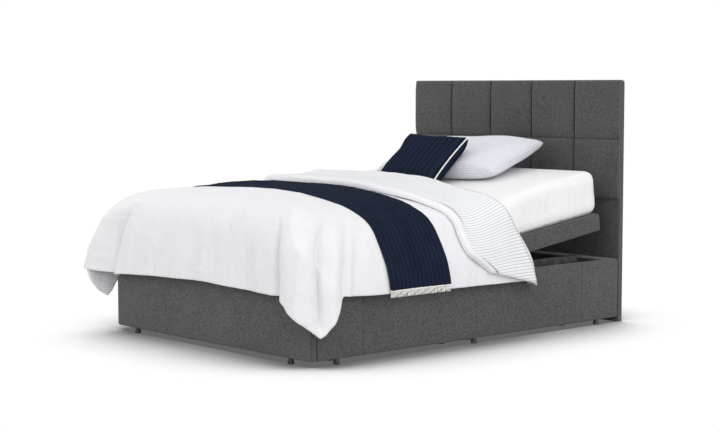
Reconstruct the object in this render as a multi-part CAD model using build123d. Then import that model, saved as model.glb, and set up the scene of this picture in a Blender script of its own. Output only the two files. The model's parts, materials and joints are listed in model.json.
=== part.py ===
from build123d import *
import os
from math import atan2, ceil, cos, degrees, hypot, pi, radians, sin

os.makedirs("parts", exist_ok=True)

# Adjustable double bed: an upholstered base round a steel lifting frame, four hinged deck
# sections driven by two linear motors, a mattress, and the bedding that dresses it.
# Millimetres. +Z is up, +Y points to the headboard, +X is the sleeper's left seen from the foot.
# A station is a distance from the outer face of the foot panel towards the headboard. A drawn
# one is for a base of the drawn length, and moves in proportion when the base is longer.

# Base panels
bed_width = 1430
base_length = 1980
drawn_length = 1980
panel_top = 312
floor_gap = 24
panel_thickness = 30
panel_edge_radius = 9
head_rail_thickness = 80
seam_inset = 282
seam_width = 3
seam_depth = 2
corner_block_leg = 62
corner_block_inset = 36
glide_radius = 14
glide_neck_radius = 11
glide_pad_height = 14
glide_end_inset = 150

# Headboard
headboard_height = 1189
headboard_thickness = 33
headboard_corner_radius = 16
headboard_edge_radius = 5
tile_columns = 5
tile_height = 292
tile_thickness = 20
tile_crown = 12
tile_corner_radius = 12
tile_gap = 1.2
headboard_bolt_radius = 4
bolt_head_radius = 8
bolt_head_height = 6
bolt_hole_clearance = 0.6
headboard_bolt_depth = 20
headboard_bolt_spread = 900
headboard_bolt_rise = 120
headboard_bolt_low = 110

# Deck sections
deck_inset = 40
deck_bottom = 340
deck_thickness = 87
deck_edge_radius = 13
deck_foot_station = 5
knee_drawn = 500
thigh_hinge_drawn = 820
head_hinge_drawn = 1077
deck_head_inset = 87
hinge_setback = 8
section_gap = 16
head_rest_angle = 7.95

# Hinges
hinge_count = 3
hinge_spread = 450
leaf_width = 90
leaf_height = 52
leaf_thickness = 3
barrel_radius = 7
hinge_pin_radius = 4
hinge_pin_head = 1.6
outer_knuckle_length = 24
knuckle_gap = 0.5
running_clearance = 0.05
flatness = 0.0001

# Lifting frame
rail_inset = 100
rail_width = 30
rail_height = 60
rail_top = 335
rail_foot_station = 90
rail_head_inset = 190
tube_wall = 2
cap_thickness = 4
cross_tube_size = 40
end_tube_inset = 30
drive_tube_drop = 35
leg_size = 30
foot_height = 14
foot_radius = 22
foot_stem_clearance = 0.5
foot_stem_height = 30
end_leg_inset = 110
tie_height = 25
tie_thickness = 4
tie_length = 60
tie_station_inset = 260
buffer_height = 4.7
buffer_radius = 11
buffer_inset = 60

# Lifting motors: each pushes a lug under its section away from a clevis on the frame
motor_side_offset = 90
head_pin_reach = 72
head_pin_drop = 207
head_clevis_reach = 220
head_clevis_drop = 195
thigh_pin_reach = 100
thigh_pin_drop = 195
thigh_clevis_reach = 220
thigh_clevis_drop = 195
motor_pin_radius = 6
pin_head_radius = 10
pin_head_thickness = 2
head_slot_slack = 8.5
thigh_slot_slack = 4.5
clevis_gap = 24
clevis_thickness = 6
clevis_land = 9
eye_thickness = 20
eye_radius = 14
motor_tube_size = 44
motor_tube_length = 205
motor_tube_start = 50
motor_nose_length = 10
gearbox_length = 62
gearbox_width = 50
gearbox_height = 58
motor_can_radius = 27
motor_can_length = 120
motor_edge_radius = 4
rod_radius = 11
rod_length = 222
rod_bore_clearance = 0.6
lug_thickness = 6
lug_root_length = 110
lug_plate_thickness = 5
lug_plate_width = 70
lug_land = 12
washer_thickness = 2

# Calf link: a bar as long as the thigh section, so the calf section stays level
link_anchor_lead = 10
link_anchor_height = 300
link_width = 26
link_thickness = 6
link_pin_radius = 5
link_offset = 14
link_bracket_thickness = 5
link_bracket_root = 90
link_side_gap = 1

# Control box
box_length = 226
box_width = 150
box_height = 48
box_side_offset = 330
box_edge_radius = 6
inlet_width = 27
inlet_height = 20
inlet_depth = 14
socket_radius = 6
socket_spacing = 34
socket_count = 3

# Mattress and its fitted sheet
mattress_height = 215
sheet_thickness = 2
mattress_corner_radius = 34
thigh_fold_half = 68
head_fold_half = 137
soft_clearance = 0.3

# Duvet
duvet_thickness = 30
duvet_crown = 52
crown_rise_shares = (0, 0.45, 0.78, 1)
crown_inset_shares = (0, 0.4, 2, 6)
duvet_side_gap = 8
duvet_top_gap = 5
duvet_foot_gap = 4
duvet_hem = 262
duvet_end_drawn = 1000
foot_reach = 50
side_reach = 60
fold_pitch = 160
fold_depth = 8
tip_bottom = 130
tip_leg = 190
tip_point_width = 14
turn_back_drawn = 760
turn_back_hem_drawn = 1000
turn_back_end_drawn = 1260
turn_back_tip_drawn = 1340
turn_back_thickness = 26
turn_back_roll = 14
turn_back_hem = 244

# Runner across the foot of the bed, with a fringe along each hem
runner_start_drawn = 400
runner_end_drawn = 755
runner_thickness = 7
runner_hem = 292
fringe_drop = 32
fringe_strand_count = 36
fringe_strand_share = 0.62

# Pillow and cushion
pillow_length = 740
pillow_width = 480
pillow_height = 150
pillow_under_share = 0.5
pillow_section_count = 12
pillow_drawn = 1640
pillow_side_offset = -10
pillow_lean = 12.3
pillow_turn = 8.8
cushion_length = 460
cushion_width = 300
cushion_height = 90
cushion_channel_count = 11
cushion_channel_depth = 4
cushion_under_share = 0.06
cushion_drawn = 1440
cushion_side_offset = -56
cushion_lean = 38
cushion_turn = -7.2
pad_across_shares = (-1, -0.86, -0.6, -0.22, 0.22, 0.6, 0.86, 1)
pad_draw_in_share = 0.09
pad_fullness = 4

# Worked out from the sizes above
stretch = base_length / drawn_length
knee_station = knee_drawn * stretch
thigh_hinge_station = thigh_hinge_drawn * stretch
head_hinge_station = head_hinge_drawn * stretch
duvet_end_station = duvet_end_drawn * stretch
turn_back_station = turn_back_drawn * stretch
turn_back_hem_station = turn_back_hem_drawn * stretch
turn_back_end_station = turn_back_end_drawn * stretch
turn_back_tip_station = turn_back_tip_drawn * stretch
runner_start_station = runner_start_drawn * stretch
runner_end_station = runner_end_drawn * stretch
pillow_station = pillow_drawn * stretch
cushion_station = cushion_drawn * stretch
deck_head_station = base_length - deck_head_inset
rail_head_station = base_length - rail_head_inset
link_anchor_station = knee_station + link_anchor_lead
overrun = bed_width
half_width = bed_width / 2
overall_length = foot_reach + base_length + headboard_thickness
foot_face_y = foot_reach - overall_length / 2
deck_half_width = half_width - deck_inset
deck_top = deck_bottom + deck_thickness
hinge_height = deck_top - hinge_setback
knee_height = deck_bottom + hinge_setback
mattress_top = deck_top + mattress_height
rail_bottom = rail_top - rail_height
rail_centre_x = half_width - rail_inset - rail_width / 2
rail_inner_x = rail_centre_x - rail_width / 2
leg_top = rail_bottom
tile_width = bed_width / tile_columns


def at(station):
    """The y of a station."""
    return foot_face_y + station


head_clevis_station = head_hinge_station - head_clevis_reach
head_clevis_height = hinge_height - head_clevis_drop
thigh_clevis_station = thigh_hinge_station + thigh_clevis_reach
thigh_clevis_height = hinge_height - thigh_clevis_drop
drive_tube_top = head_clevis_height - drive_tube_drop


def block(x0, x1, y0, y1, z0, z1):
    """A box between two corners."""
    size = Box(x1 - x0, y1 - y0, z1 - z0)
    return Pos((x0 + x1) / 2, (y0 + y1) / 2, (z0 + z1) / 2) * size


def rod_x(radius, x0, x1, y, z):
    """A round bar along X."""
    return Pos((x0 + x1) / 2, y, z) * Rot(0, 90, 0) * Cylinder(radius, x1 - x0)


def rod_y(radius, y0, y1, x, z):
    """A round bar along Y."""
    return Pos(x, (y0 + y1) / 2, z) * Rot(90, 0, 0) * Cylinder(radius, y1 - y0)


def rod_z(radius, z0, z1, x, y):
    """A round bar along Z."""
    return Pos(x, y, (z0 + z1) / 2) * Cylinder(radius, z1 - z0)


def turned(shape, angle, station, height):
    """A shape turned about an X axis, positive lifts its headboard side."""
    hinge = Pos(0, at(station), height)
    return hinge * Rot(angle, 0, 0) * hinge.inverse() * shape


def raised_head(shape):
    """A flat head-section shape turned to the angle at which the section rests."""
    return turned(shape, head_rest_angle, head_hinge_station, hinge_height)


def leaned_point(station, height, lean):
    """Where a flat point goes when it turns by an angle about the head hinge."""
    along, up = station - head_hinge_station, height - hinge_height
    turn = radians(lean)
    return (
        head_hinge_station + along * cos(turn) - up * sin(turn),
        hinge_height + along * sin(turn) + up * cos(turn),
    )


def raised_point(station, height):
    """Where a point of the flat head section lies once it is raised."""
    return leaned_point(station, height, head_rest_angle)


def facets(a, b, c, d):
    """The flat faces that fill four corners: one where they lie in a plane, else two."""
    points = [Vector(*p) for p in (a, b, c, d)]
    first, second, third, fourth = points
    normal = (second - first).cross(third - first)
    if normal.length and abs(normal.normalized().dot(fourth - first)) < flatness:
        return [Face(Wire.make_polygon(points))]
    return [
        Face(Wire.make_polygon([first, second, third])),
        Face(Wire.make_polygon([first, third, fourth])),
    ]


def ruled(rings):
    """A faceted solid through flat rings of points, all with the same number of points."""
    ends = [Face(Wire.make_polygon([Vector(*p) for p in ring])) for ring in (rings[0], rings[-1])]
    faces = list(ends)
    for near, far in zip(rings, rings[1:]):
        for i in range(len(near)):
            faces += facets(near[i - 1], near[i], far[i], far[i - 1])
    return Solid(Shell(faces))


def group(shapes):
    """Separate solids kept in one node."""
    return Compound(children=[solid for shape in shapes for solid in shape.solids()])


def save(name, shape):
    """Write one node."""
    export_step(shape, f"parts/{name}.step")


# Base panels, joints and floor glides


def side_panel(side):
    """An upholstered side panel with its two sewn seams, side is 1 or -1."""
    outer = side * half_width
    inner = side * (half_width - panel_thickness)
    x0, x1 = min(outer, inner), max(outer, inner)
    panel = block(x0, x1, at(panel_thickness), at(base_length), floor_gap, panel_top)
    long_edges = panel.edges().filter_by(Axis.Y)
    panel = fillet(long_edges, panel_edge_radius)
    for station in (seam_inset, base_length - seam_inset):
        y = at(station)
        groove = block(
            outer - seam_depth, outer + seam_depth,
            y - seam_width / 2, y + seam_width / 2,
            floor_gap - overrun, panel_top + overrun,
        )
        panel -= groove
    return panel


def foot_panel():
    """The upholstered foot panel, rounded where it shows."""
    panel = block(-half_width, half_width, at(0), at(panel_thickness), floor_gap, panel_top)
    front = panel.faces().sort_by(Axis.Y)[0].edges()
    return fillet(front, panel_edge_radius)


def headboard_bolt_places():
    """Where the headboard bolts pass, as x and z."""
    return [
        (side * headboard_bolt_spread / 2, headboard_bolt_low + level * headboard_bolt_rise)
        for side in (-1, 1)
        for level in (0, 1)
    ]


def head_rail():
    """The panel between the side panels at the head, drilled for the headboard bolts."""
    inside = half_width - panel_thickness
    rail = block(
        -inside, inside,
        at(base_length - head_rail_thickness), at(base_length), floor_gap, panel_top,
    )
    top = rail.faces().sort_by(Axis.Z)[-1].edges().filter_by(Axis.X).sort_by(Axis.Y)[0]
    rail = fillet(top, panel_edge_radius)
    hole = headboard_bolt_radius + bolt_hole_clearance
    for x, z in headboard_bolt_places():
        rail -= rod_y(hole, at(0), at(base_length) + overrun, x, z)
    return rail


def corner_blocks():
    """Four timber blocks glued into the corners of the base."""
    inside = half_width - panel_thickness
    corners = (
        (panel_thickness, 1),
        (base_length - head_rail_thickness, -1),
    )
    blocks = []
    for side in (-1, 1):
        for station, inward in corners:
            x, y = side * inside, at(station)
            outline = Polyline(
                (x, y),
                (x - side * corner_block_leg, y),
                (x, y + inward * corner_block_leg),
                close=True,
            )
            face = make_face(outline)
            low = floor_gap + corner_block_inset
            blocks.append(extrude(Pos(0, 0, low) * face, panel_top - corner_block_inset - low))
    return group(blocks)


def glides():
    """Screw-in glides that carry the panels on the floor."""
    x = half_width - panel_thickness / 2
    stations = (
        glide_end_inset,
        (base_length - panel_thickness) / 2,
        base_length - glide_end_inset,
    )
    places = [(side * x, at(station)) for side in (-1, 1) for station in stations]
    foot_x = half_width - glide_end_inset
    places += [(side * foot_x, at(panel_thickness / 2)) for side in (-1, 1)]
    pads = []
    for x, y in places:
        pad = rod_z(glide_radius, 0, glide_pad_height, x, y)
        pad = fillet(pad.edges().sort_by(Axis.Z)[-1], seam_width)
        pads.append(pad + rod_z(glide_neck_radius, glide_pad_height - seam_depth, floor_gap, x, y))
    return group(pads)


# Headboard


def headboard_board():
    """The upholstered board, rounded at its top corners and drilled for its bolts."""
    board = block(
        -half_width, half_width,
        at(base_length), at(base_length) + headboard_thickness, 0, headboard_height,
    )
    corners = board.edges().filter_by(Axis.Y).group_by(Axis.Z)[-1]
    board = fillet(corners, headboard_corner_radius)
    rims = [
        board.faces().sort_by(Axis.Y)[end].edges().filter_by(lambda e: e.center().Z > tile_height)
        for end in (0, -1)
    ]
    board = fillet(rims[0] + rims[1], headboard_edge_radius)
    hole = headboard_bolt_radius + bolt_hole_clearance
    for x, z in headboard_bolt_places():
        board -= rod_y(hole, at(base_length) - overrun, at(base_length) + headboard_bolt_depth, x, z)
    return board


def headboard_tile(column, row):
    """One padded tile of the headboard, crowned and drawn in towards its seams."""
    x = (column - (tile_columns - 1) / 2) * tile_width
    z = headboard_height - (row + 1 / 2) * tile_height
    half_x = (tile_width - tile_gap) / 2
    half_z = (tile_height - tile_gap) / 2
    back = at(base_length)
    seam_depth_y = back - (tile_thickness - tile_crown)
    front = back - tile_thickness
    mid = (seam_depth_y + front) / 2
    steps = (
        (back, 0),
        (seam_depth_y, 0),
        (mid, tile_crown / 4),
        (front, tile_crown),
    )
    rings = []
    for y, inset in steps:
        hx, hz = half_x - inset, half_z - inset
        r = tile_corner_radius
        ring = [
            (x + sx * (hx - (0 if along else r)), y, z + sz * (hz - (r if along else 0)))
            for sx, sz, order in ((1, 1, (1, 0)), (-1, 1, (0, 1)), (-1, -1, (1, 0)), (1, -1, (0, 1)))
            for along in order
        ]
        rings.append(ring)
    return ruled(rings)


def headboard_bolts():
    """Hexagon bolts through the head rail into the headboard."""
    start = at(base_length - head_rail_thickness)
    bolts = []
    for x, z in headboard_bolt_places():
        end = at(base_length) + headboard_bolt_depth - bolt_hole_clearance
        shank = rod_y(headboard_bolt_radius, start - bolt_head_height / 2, end, x, z)
        head = extrude(RegularPolygon(bolt_head_radius, 6), bolt_head_height)
        head = Pos(x, start, z) * Rot(90, 0, 0) * head
        bolts.append(shank + head)
    return group(bolts)


# Lifting frame


def square_tube(x0, x1, y0, y1, z0, z1, axis):
    """A rectangular tube, open at both ends along its axis, 0 for X, 1 for Y, 2 for Z."""
    low, high = [x0, y0, z0], [x1, y1, z1]
    inner_low = [v + (-overrun if i == axis else tube_wall) for i, v in enumerate(low)]
    inner_high = [v + (overrun if i == axis else -tube_wall) for i, v in enumerate(high)]
    outer = block(low[0], high[0], low[1], high[1], low[2], high[2])
    return outer - block(
        inner_low[0], inner_high[0], inner_low[1], inner_high[1], inner_low[2], inner_high[2]
    )


def side_rail(side):
    """A long rail of the lifting frame."""
    x0 = side * rail_centre_x - rail_width / 2
    return square_tube(
        x0, x0 + rail_width,
        at(rail_foot_station + cap_thickness), at(rail_head_station - cap_thickness),
        rail_bottom, rail_top, 1,
    )


def rail_end_caps():
    """Plastic caps that close the four ends of the long rails."""
    caps = []
    for side in (-1, 1):
        for station, inward in ((rail_foot_station, 1), (rail_head_station, -1)):
            x, y = side * rail_centre_x, at(station)
            inner = y + inward * cap_thickness
            plate = block(
                x - rail_width / 2, x + rail_width / 2, min(y, inner), max(y, inner),
                rail_bottom, rail_top,
            )
            fit = tube_wall + foot_stem_clearance
            deep = inner + inward * cap_thickness
            plug = block(
                x - rail_width / 2 + fit, x + rail_width / 2 - fit, min(y, deep), max(y, deep),
                rail_bottom + fit, rail_top - fit,
            )
            rim = plate.faces().sort_by(Axis.Y)[0 if inward > 0 else -1].edges()
            caps.append(fillet(rim, tube_wall / 2) + plug)
    return group(caps)


def cross_tube(station, top):
    """A tube across the frame between the long rails or their legs."""
    y = at(station)
    return square_tube(
        -rail_inner_x, rail_inner_x, y - cross_tube_size / 2, y + cross_tube_size / 2,
        top - cross_tube_size, top, 0,
    )


def leg_stations():
    """The stations of the legs along a rail."""
    return (
        rail_foot_station + end_leg_inset,
        head_clevis_station,
        thigh_clevis_station,
        rail_head_station - end_leg_inset,
    )


def legs(side):
    """The legs welded under one long rail."""
    x = side * rail_centre_x
    return group([
        square_tube(
            x - leg_size / 2, x + leg_size / 2,
            at(station) - leg_size / 2, at(station) + leg_size / 2, foot_height, leg_top, 2,
        )
        for station in leg_stations()
    ])


def leg_feet():
    """Plastic feet pushed into the legs."""
    feet = []
    half = leg_size / 2 - tube_wall - foot_stem_clearance
    for side in (-1, 1):
        for station in leg_stations():
            x, y = side * rail_centre_x, at(station)
            pad = rod_z(foot_radius, 0, foot_height, x, y)
            pad = fillet(pad.edges().sort_by(Axis.Z)[-1], foot_height / 3)
            stem = block(
                x - half, x + half, y - half, y + half,
                foot_height - tube_wall, foot_height + foot_stem_height,
            )
            feet.append(pad + stem)
    return group(feet)


def frame_ties():
    """Angle brackets that tie the frame to the side panels."""
    ties = []
    outer = half_width - panel_thickness
    start = rail_centre_x + rail_width / 2
    for side in (-1, 1):
        for station in (tie_station_inset, base_length - tie_station_inset - head_rail_thickness):
            y0, y1 = at(station) - tie_length / 2, at(station) + tie_length / 2
            top = rail_bottom + tie_height
            x = sorted((side * start, side * outer))
            shelf = block(x[0], x[1], y0, y1, top - tie_thickness, top)
            flange_x = sorted((side * (outer - tie_thickness), side * outer))
            flange = block(flange_x[0], flange_x[1], y0, y1, rail_bottom - tie_height, top)
            foot_x = sorted((side * start, side * (start + tie_thickness)))
            rib = block(foot_x[0], foot_x[1], y0, y1, rail_bottom, top)
            ties.append(shelf + flange + rib)
    return group(ties)


def deck_buffers():
    """Rubber buffers on the long rails, under the sections that lift."""
    spots = []
    stations = (
        deck_foot_station + rail_foot_station + buffer_inset,
        knee_station - buffer_inset,
        knee_station + buffer_inset,
        thigh_hinge_station - buffer_inset,
    )
    for side in (-1, 1):
        for station in stations:
            stud = rod_z(
                buffer_radius, rail_top, rail_top + buffer_height,
                side * rail_centre_x, at(station),
            )
            spots.append(fillet(stud.edges().sort_by(Axis.Z)[-1], seam_depth))
    return group(spots)


def seat_spacers():
    """Blocks that bolt the fixed seat section to the long rails."""
    half = rail_width / 2
    return group([
        block(
            side * rail_centre_x - half, side * rail_centre_x + half,
            at(station) - half, at(station) + half, rail_top, deck_bottom,
        )
        for side in (-1, 1)
        for station in (thigh_hinge_station + buffer_inset, head_hinge_station - buffer_inset)
    ])


# Deck sections and their hinges


def deck_section(start, end):
    """An upholstered section of the deck between two stations."""
    section = block(
        -deck_half_width, deck_half_width, at(start), at(end), deck_bottom, deck_top
    )
    return fillet(section.edges(), deck_edge_radius)


def hinge_centres():
    """The x of each hinge across the bed."""
    return [(i - (hinge_count - 1) / 2) * hinge_spread for i in range(hinge_count)]


def hinge_leaves(station, height, rise, facing, outer):
    """The leaves on one side of a hinge line.

    rise is 1 where the leaves stand above the pin and -1 where they hang below it,
    facing is 1 for the headboard side of the gap and -1 for the foot side, and outer
    leaves carry the two end knuckles while inner ones carry the middle knuckle.
    """
    y = at(station)
    bore = hinge_pin_radius + running_clearance
    end = leaf_width / 2
    inner = end - outer_knuckle_length
    own = [(-end, -inner), (inner, end)] if outer else [(-inner + knuckle_gap, inner - knuckle_gap)]
    other = [(-inner, inner)] if outer else [(-end, -inner), (inner, end)]
    face = section_gap / 2
    ys = sorted((facing * face, facing * (face - leaf_thickness)))
    leaves = []
    for x in hinge_centres():
        zs = sorted((height, height + rise * leaf_height))
        leaf = block(x - end, x + end, y + ys[0], y + ys[1], zs[0], zs[1])
        for x0, x1 in other:
            clear = barrel_radius + leaf_thickness
            zc = sorted((height - rise * overrun, height + rise * clear))
            leaf -= block(
                x + x0 - knuckle_gap, x + x1 + knuckle_gap,
                y - overrun, y + overrun, zc[0], zc[1],
            )
        for x0, x1 in own:
            leaf += rod_x(barrel_radius, x + x0, x + x1, y, height)
        leaf -= rod_x(bore, x - overrun, x + overrun, y, height)
        leaves.append(leaf)
    return group(leaves)


def hinge_pins(station, height):
    """Headed pins, one through each hinge of a line."""
    end = leaf_width / 2
    pins = []
    for x in hinge_centres():
        pin = rod_x(hinge_pin_radius, x - end, x + end, at(station), height)
        for edge, outward in ((x - end, -1), (x + end, 1)):
            start = edge + outward * running_clearance
            ends = sorted((start, start + outward * hinge_pin_head))
            head_radius = (hinge_pin_radius + barrel_radius) / 2
            pin += rod_x(head_radius, ends[0], ends[1], at(station), height)
            stub = sorted((edge - outward * hinge_pin_head, ends[0] if outward < 0 else ends[1]))
            pin += rod_x(hinge_pin_radius, stub[0], stub[1], at(station), height)
        pins.append(pin)
    return group(pins)


# Lifting motors


def clevis(side, station, height):
    """A welded clevis that stands on its drive tube and carries a motor's tail pin."""
    x = side * motor_side_offset
    outer = motor_pin_radius + clevis_land
    ears = []
    for ear in (-1, 1):
        near = x + ear * clevis_gap / 2
        far = near + ear * clevis_thickness
        x0, x1 = min(near, far), max(near, far)
        cheek = block(x0, x1, at(station) - outer, at(station) + outer, drive_tube_top, height)
        cheek += rod_x(outer, x0, x1, at(station), height)
        cheek -= rod_x(
            motor_pin_radius + running_clearance, x0 - overrun, x1 + overrun, at(station), height
        )
        ears.append(cheek)
    return group(ears)


def motor_pin(side, station, height, half_span):
    """A headed pin across a motor joint."""
    x = side * motor_side_offset
    pin = rod_x(motor_pin_radius, x - half_span, x + half_span, at(station), height)
    for end in (-1, 1):
        near = x + end * half_span
        far = near + end * pin_head_thickness
        pin += rod_x(pin_head_radius, min(near, far), max(near, far), at(station), height)
    return pin


def motor_housing(side):
    """A linear motor's housing along +Y from its tail pin, built at the origin."""
    half = motor_tube_size / 2
    tube_end = motor_tube_start + motor_tube_length - motor_nose_length
    tube = block(-half, half, motor_tube_start, tube_end, -half, half)
    tube = fillet(tube.edges().filter_by(Axis.Y), motor_edge_radius)
    nose = rod_y(half - motor_edge_radius, tube_end - motor_nose_length,
                 tube_end + motor_nose_length, 0, 0)
    box_start = eye_radius + seam_width
    gearbox = block(
        -gearbox_width / 2, gearbox_width / 2, box_start, box_start + gearbox_length,
        -gearbox_height / 2, gearbox_height / 2,
    )
    gearbox = fillet(gearbox.edges(), motor_edge_radius)
    can_x = side * (gearbox_width / 2 + motor_can_radius - motor_edge_radius)
    can = rod_y(motor_can_radius, box_start, box_start + motor_can_length, can_x, 0)
    can = fillet(can.edges().filter_by(GeomType.CIRCLE), motor_edge_radius)
    eye = rod_x(eye_radius, -eye_thickness / 2, eye_thickness / 2, 0, 0)
    neck = block(
        -eye_thickness / 2, eye_thickness / 2, 0, box_start + motor_edge_radius,
        -eye_radius, eye_radius,
    )
    body = gearbox + tube + nose + can + neck + eye
    body -= rod_x(motor_pin_radius + running_clearance, -overrun, overrun, 0, 0)
    bore_start = motor_tube_start + motor_nose_length
    body -= rod_y(rod_radius + rod_bore_clearance, bore_start, overrun, 0, 0)
    return body


def motor_rod(reach):
    """A lifting rod with its eye at reach from the tail pin, built at the origin along +Y."""
    rod = rod_y(rod_radius, reach - rod_length, reach, 0, 0)
    rod += rod_x(eye_radius, -eye_thickness / 2, eye_thickness / 2, reach, 0)
    return rod - rod_x(motor_pin_radius + running_clearance, -overrun, overrun, reach, 0)


def rod_pin(reach, half_span, slack):
    """The pin in the rod's eye, with washers outside the lugs, built at the origin."""
    pin = rod_x(motor_pin_radius, -half_span, half_span, reach, 0)
    washer = motor_pin_radius + slack + clevis_thickness
    for end in (-1, 1):
        near = end * half_span
        far = near + end * washer_thickness
        pin += rod_x(washer, min(near, far), max(near, far), reach, 0)
    return pin


def lift_lugs(side, hinge_station, toward, reach, drop, slack):
    """Two drilled lugs under a section, welded to a plate; toward is 1 or -1 along Y."""
    x = side * motor_side_offset
    pin_y = at(hinge_station) + toward * reach
    pin_z = hinge_height - drop
    hole = motor_pin_radius + slack
    outer = hole + lug_land
    root_start = at(hinge_station) + toward * (section_gap + lug_plate_thickness)
    root_end = root_start + toward * (lug_root_length + reach / 2)
    plate_bottom = deck_bottom - lug_plate_thickness
    ys = sorted((root_start, root_end))
    plate = block(
        x - lug_plate_width / 2, x + lug_plate_width / 2, ys[0], ys[1], plate_bottom, deck_bottom
    )
    lugs = plate
    for ear in (-1, 1):
        near = x + ear * (eye_thickness / 2 + link_side_gap)
        far = near + ear * lug_thickness
        x0, x1 = min(near, far), max(near, far)
        web = Polyline(
            (ys[0], plate_bottom),
            (ys[1], plate_bottom),
            (pin_y + outer * cos(pi / 6), pin_z + outer / 2),
            (pin_y - outer * cos(pi / 6), pin_z + outer / 2),
            close=True,
        )
        cheek = extrude(Plane.YZ.offset(x0) * make_face(web), x1 - x0)
        cheek += rod_x(outer, x0, x1, pin_y, pin_z)
        cheek -= rod_x(hole, x0 - overrun, x1 + overrun, pin_y, pin_z)
        lugs += cheek
    return lugs


def placed_motor(shape, side, station, height, end_station, end_height):
    """A motor shape laid from its clevis pin towards its lug pin."""
    along = at(end_station) - at(station)
    rise = end_height - height
    if along >= 0:
        turn = Rot(degrees(atan2(rise, along)), 0, 0)
    else:
        turn = Rot(0, 0, 180) * Rot(degrees(atan2(rise, -along)), 0, 0)
    return Pos(side * motor_side_offset, at(station), height) * turn * shape


# Calf link and its brackets


def link_bar(side):
    """A flat bar from the frame to the calf section."""
    dy = knee_station - thigh_hinge_station
    dz = knee_height - hinge_height
    x0 = side * (rail_inner_x - link_offset) - link_thickness / 2
    x1 = x0 + link_thickness
    start = (at(link_anchor_station), link_anchor_height)
    end = (start[0] + dy, start[1] + dz)
    length = hypot(dy, dz)
    nx, nz = -dz / length * link_width / 2, dy / length * link_width / 2
    web = Polyline(
        (start[0] + nx, start[1] + nz),
        (end[0] + nx, end[1] + nz),
        (end[0] - nx, end[1] - nz),
        (start[0] - nx, start[1] - nz),
        close=True,
    )
    bar = extrude(Plane.YZ.offset(x0) * make_face(web), link_thickness)
    for y, z in (start, end):
        bar += rod_x(link_width / 2, x0, x1, y, z)
    for y, z in (start, end):
        bar -= rod_x(link_pin_radius + running_clearance, x0 - overrun, x1 + overrun, y, z)
    return bar


def link_pin(side, station, height, reach_in, reach_out):
    """A headed pin through a link eye, along X on one side of the bed."""
    centre = side * (rail_inner_x - link_offset)
    inner = centre - side * reach_in
    outer = centre + side * reach_out
    x0, x1 = min(inner, outer), max(inner, outer)
    pin = rod_x(link_pin_radius, x0, x1, at(station), height)
    cap = inner - side * pin_head_thickness
    head_radius = link_pin_radius + pin_head_thickness
    return pin + rod_x(head_radius, min(inner, cap), max(inner, cap), at(station), height)


def calf_bracket(side):
    """A drop bracket under the calf section that carries the lower end of the link."""
    station = link_anchor_station + knee_station - thigh_hinge_station
    height = link_anchor_height + knee_height - hinge_height
    centre = side * (rail_inner_x - link_offset)
    near = centre - side * (link_thickness / 2 + link_side_gap)
    far = near - side * link_bracket_thickness
    x0, x1 = min(near, far), max(near, far)
    land = link_width / 2
    y = at(station)
    web = Polyline(
        (y - link_bracket_root / 2, deck_bottom),
        (y + link_bracket_root / 2, deck_bottom),
        (y + land, height),
        (y - land, height),
        close=True,
    )
    plate = extrude(Plane.YZ.offset(x0) * make_face(web), x1 - x0)
    plate += rod_x(land, x0, x1, y, height)
    flange_far = near - side * link_bracket_root / 2
    fx0, fx1 = min(near, flange_far), max(near, flange_far)
    plate += block(
        fx0, fx1, y - link_bracket_root / 2, y + link_bracket_root / 2,
        deck_bottom - link_bracket_thickness, deck_bottom,
    )
    bore = link_pin_radius + running_clearance
    return plate - rod_x(bore, x0 - overrun, x1 + overrun, y, height)


# Control box


def control_box():
    """The motor control box on the two drive tubes, with its sockets towards the foot."""
    centre = (at(head_clevis_station) + at(thigh_clevis_station)) / 2
    x = -box_side_offset
    case = block(
        x - box_width / 2, x + box_width / 2, centre - box_length / 2, centre + box_length / 2,
        drive_tube_top, drive_tube_top + box_height,
    )
    case = fillet(case.edges().filter_by(Axis.Z), box_edge_radius)
    case = fillet(case.faces().sort_by(Axis.Z)[-1].edges(), box_edge_radius / 2)
    front = centre - box_length / 2
    level = drive_tube_top + box_height / 2
    inlet_x = x - box_width / 2 + inlet_width
    case -= block(
        inlet_x - inlet_width / 2, inlet_x + inlet_width / 2, front - overrun,
        front + inlet_depth, level - inlet_height / 2, level + inlet_height / 2,
    )
    for i in range(socket_count):
        socket_x = inlet_x + inlet_width + i * socket_spacing
        case -= rod_y(socket_radius, front - overrun, front + inlet_depth, socket_x, level)
    return case


# Mattress and sheet


def mattress_ring(station, lean, inset):
    """A rounded section across the mattress, in a plane that leans about the head hinge."""
    hw = deck_half_width - inset
    low, high = deck_top + soft_clearance, mattress_top - inset
    r = mattress_corner_radius - inset
    points = [(-hw, low)]
    for centre_x, sweep in ((-(hw - r), (180, 150, 120, 90)), (hw - r, (90, 60, 30, 0))):
        points += [
            (centre_x + r * cos(radians(a)), high - r + r * sin(radians(a))) for a in sweep
        ]
    points.append((hw, low))
    ring = []
    for x, z in points:
        s, up = leaned_point(station, z, lean) if lean else (station, z)
        ring.append((x, at(s), up))
    return ring


def mattress_stretch(planes, inset):
    """A stretch of mattress through leaning planes, each a station and an angle."""
    rings = []
    for station, lean in planes:
        if station == deck_foot_station:
            station += inset
        if station == deck_head_station:
            station -= inset
        rings.append(mattress_ring(station, lean, inset))
    return ruled(rings)


def mattress_planes():
    """The stretches of the mattress, by name."""
    rest = head_rest_angle
    thigh_end = (thigh_hinge_station - thigh_fold_half, 0)
    head_start = (head_hinge_station + head_fold_half, rest)
    return {
        "calf": ((deck_foot_station, 0), (knee_station, 0)),
        "thigh": ((knee_station, 0), thigh_end),
        "middle": (
            thigh_end,
            (head_hinge_station - head_fold_half, 0),
            (head_hinge_station, rest / 2),
            head_start,
        ),
        "head": (head_start, (deck_head_station, rest)),
    }


def fitted_sheet(planes):
    """The sheet over one stretch of the mattress."""
    return mattress_stretch(planes, 0) - mattress_stretch(planes, sheet_thickness)


# Duvet


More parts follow.
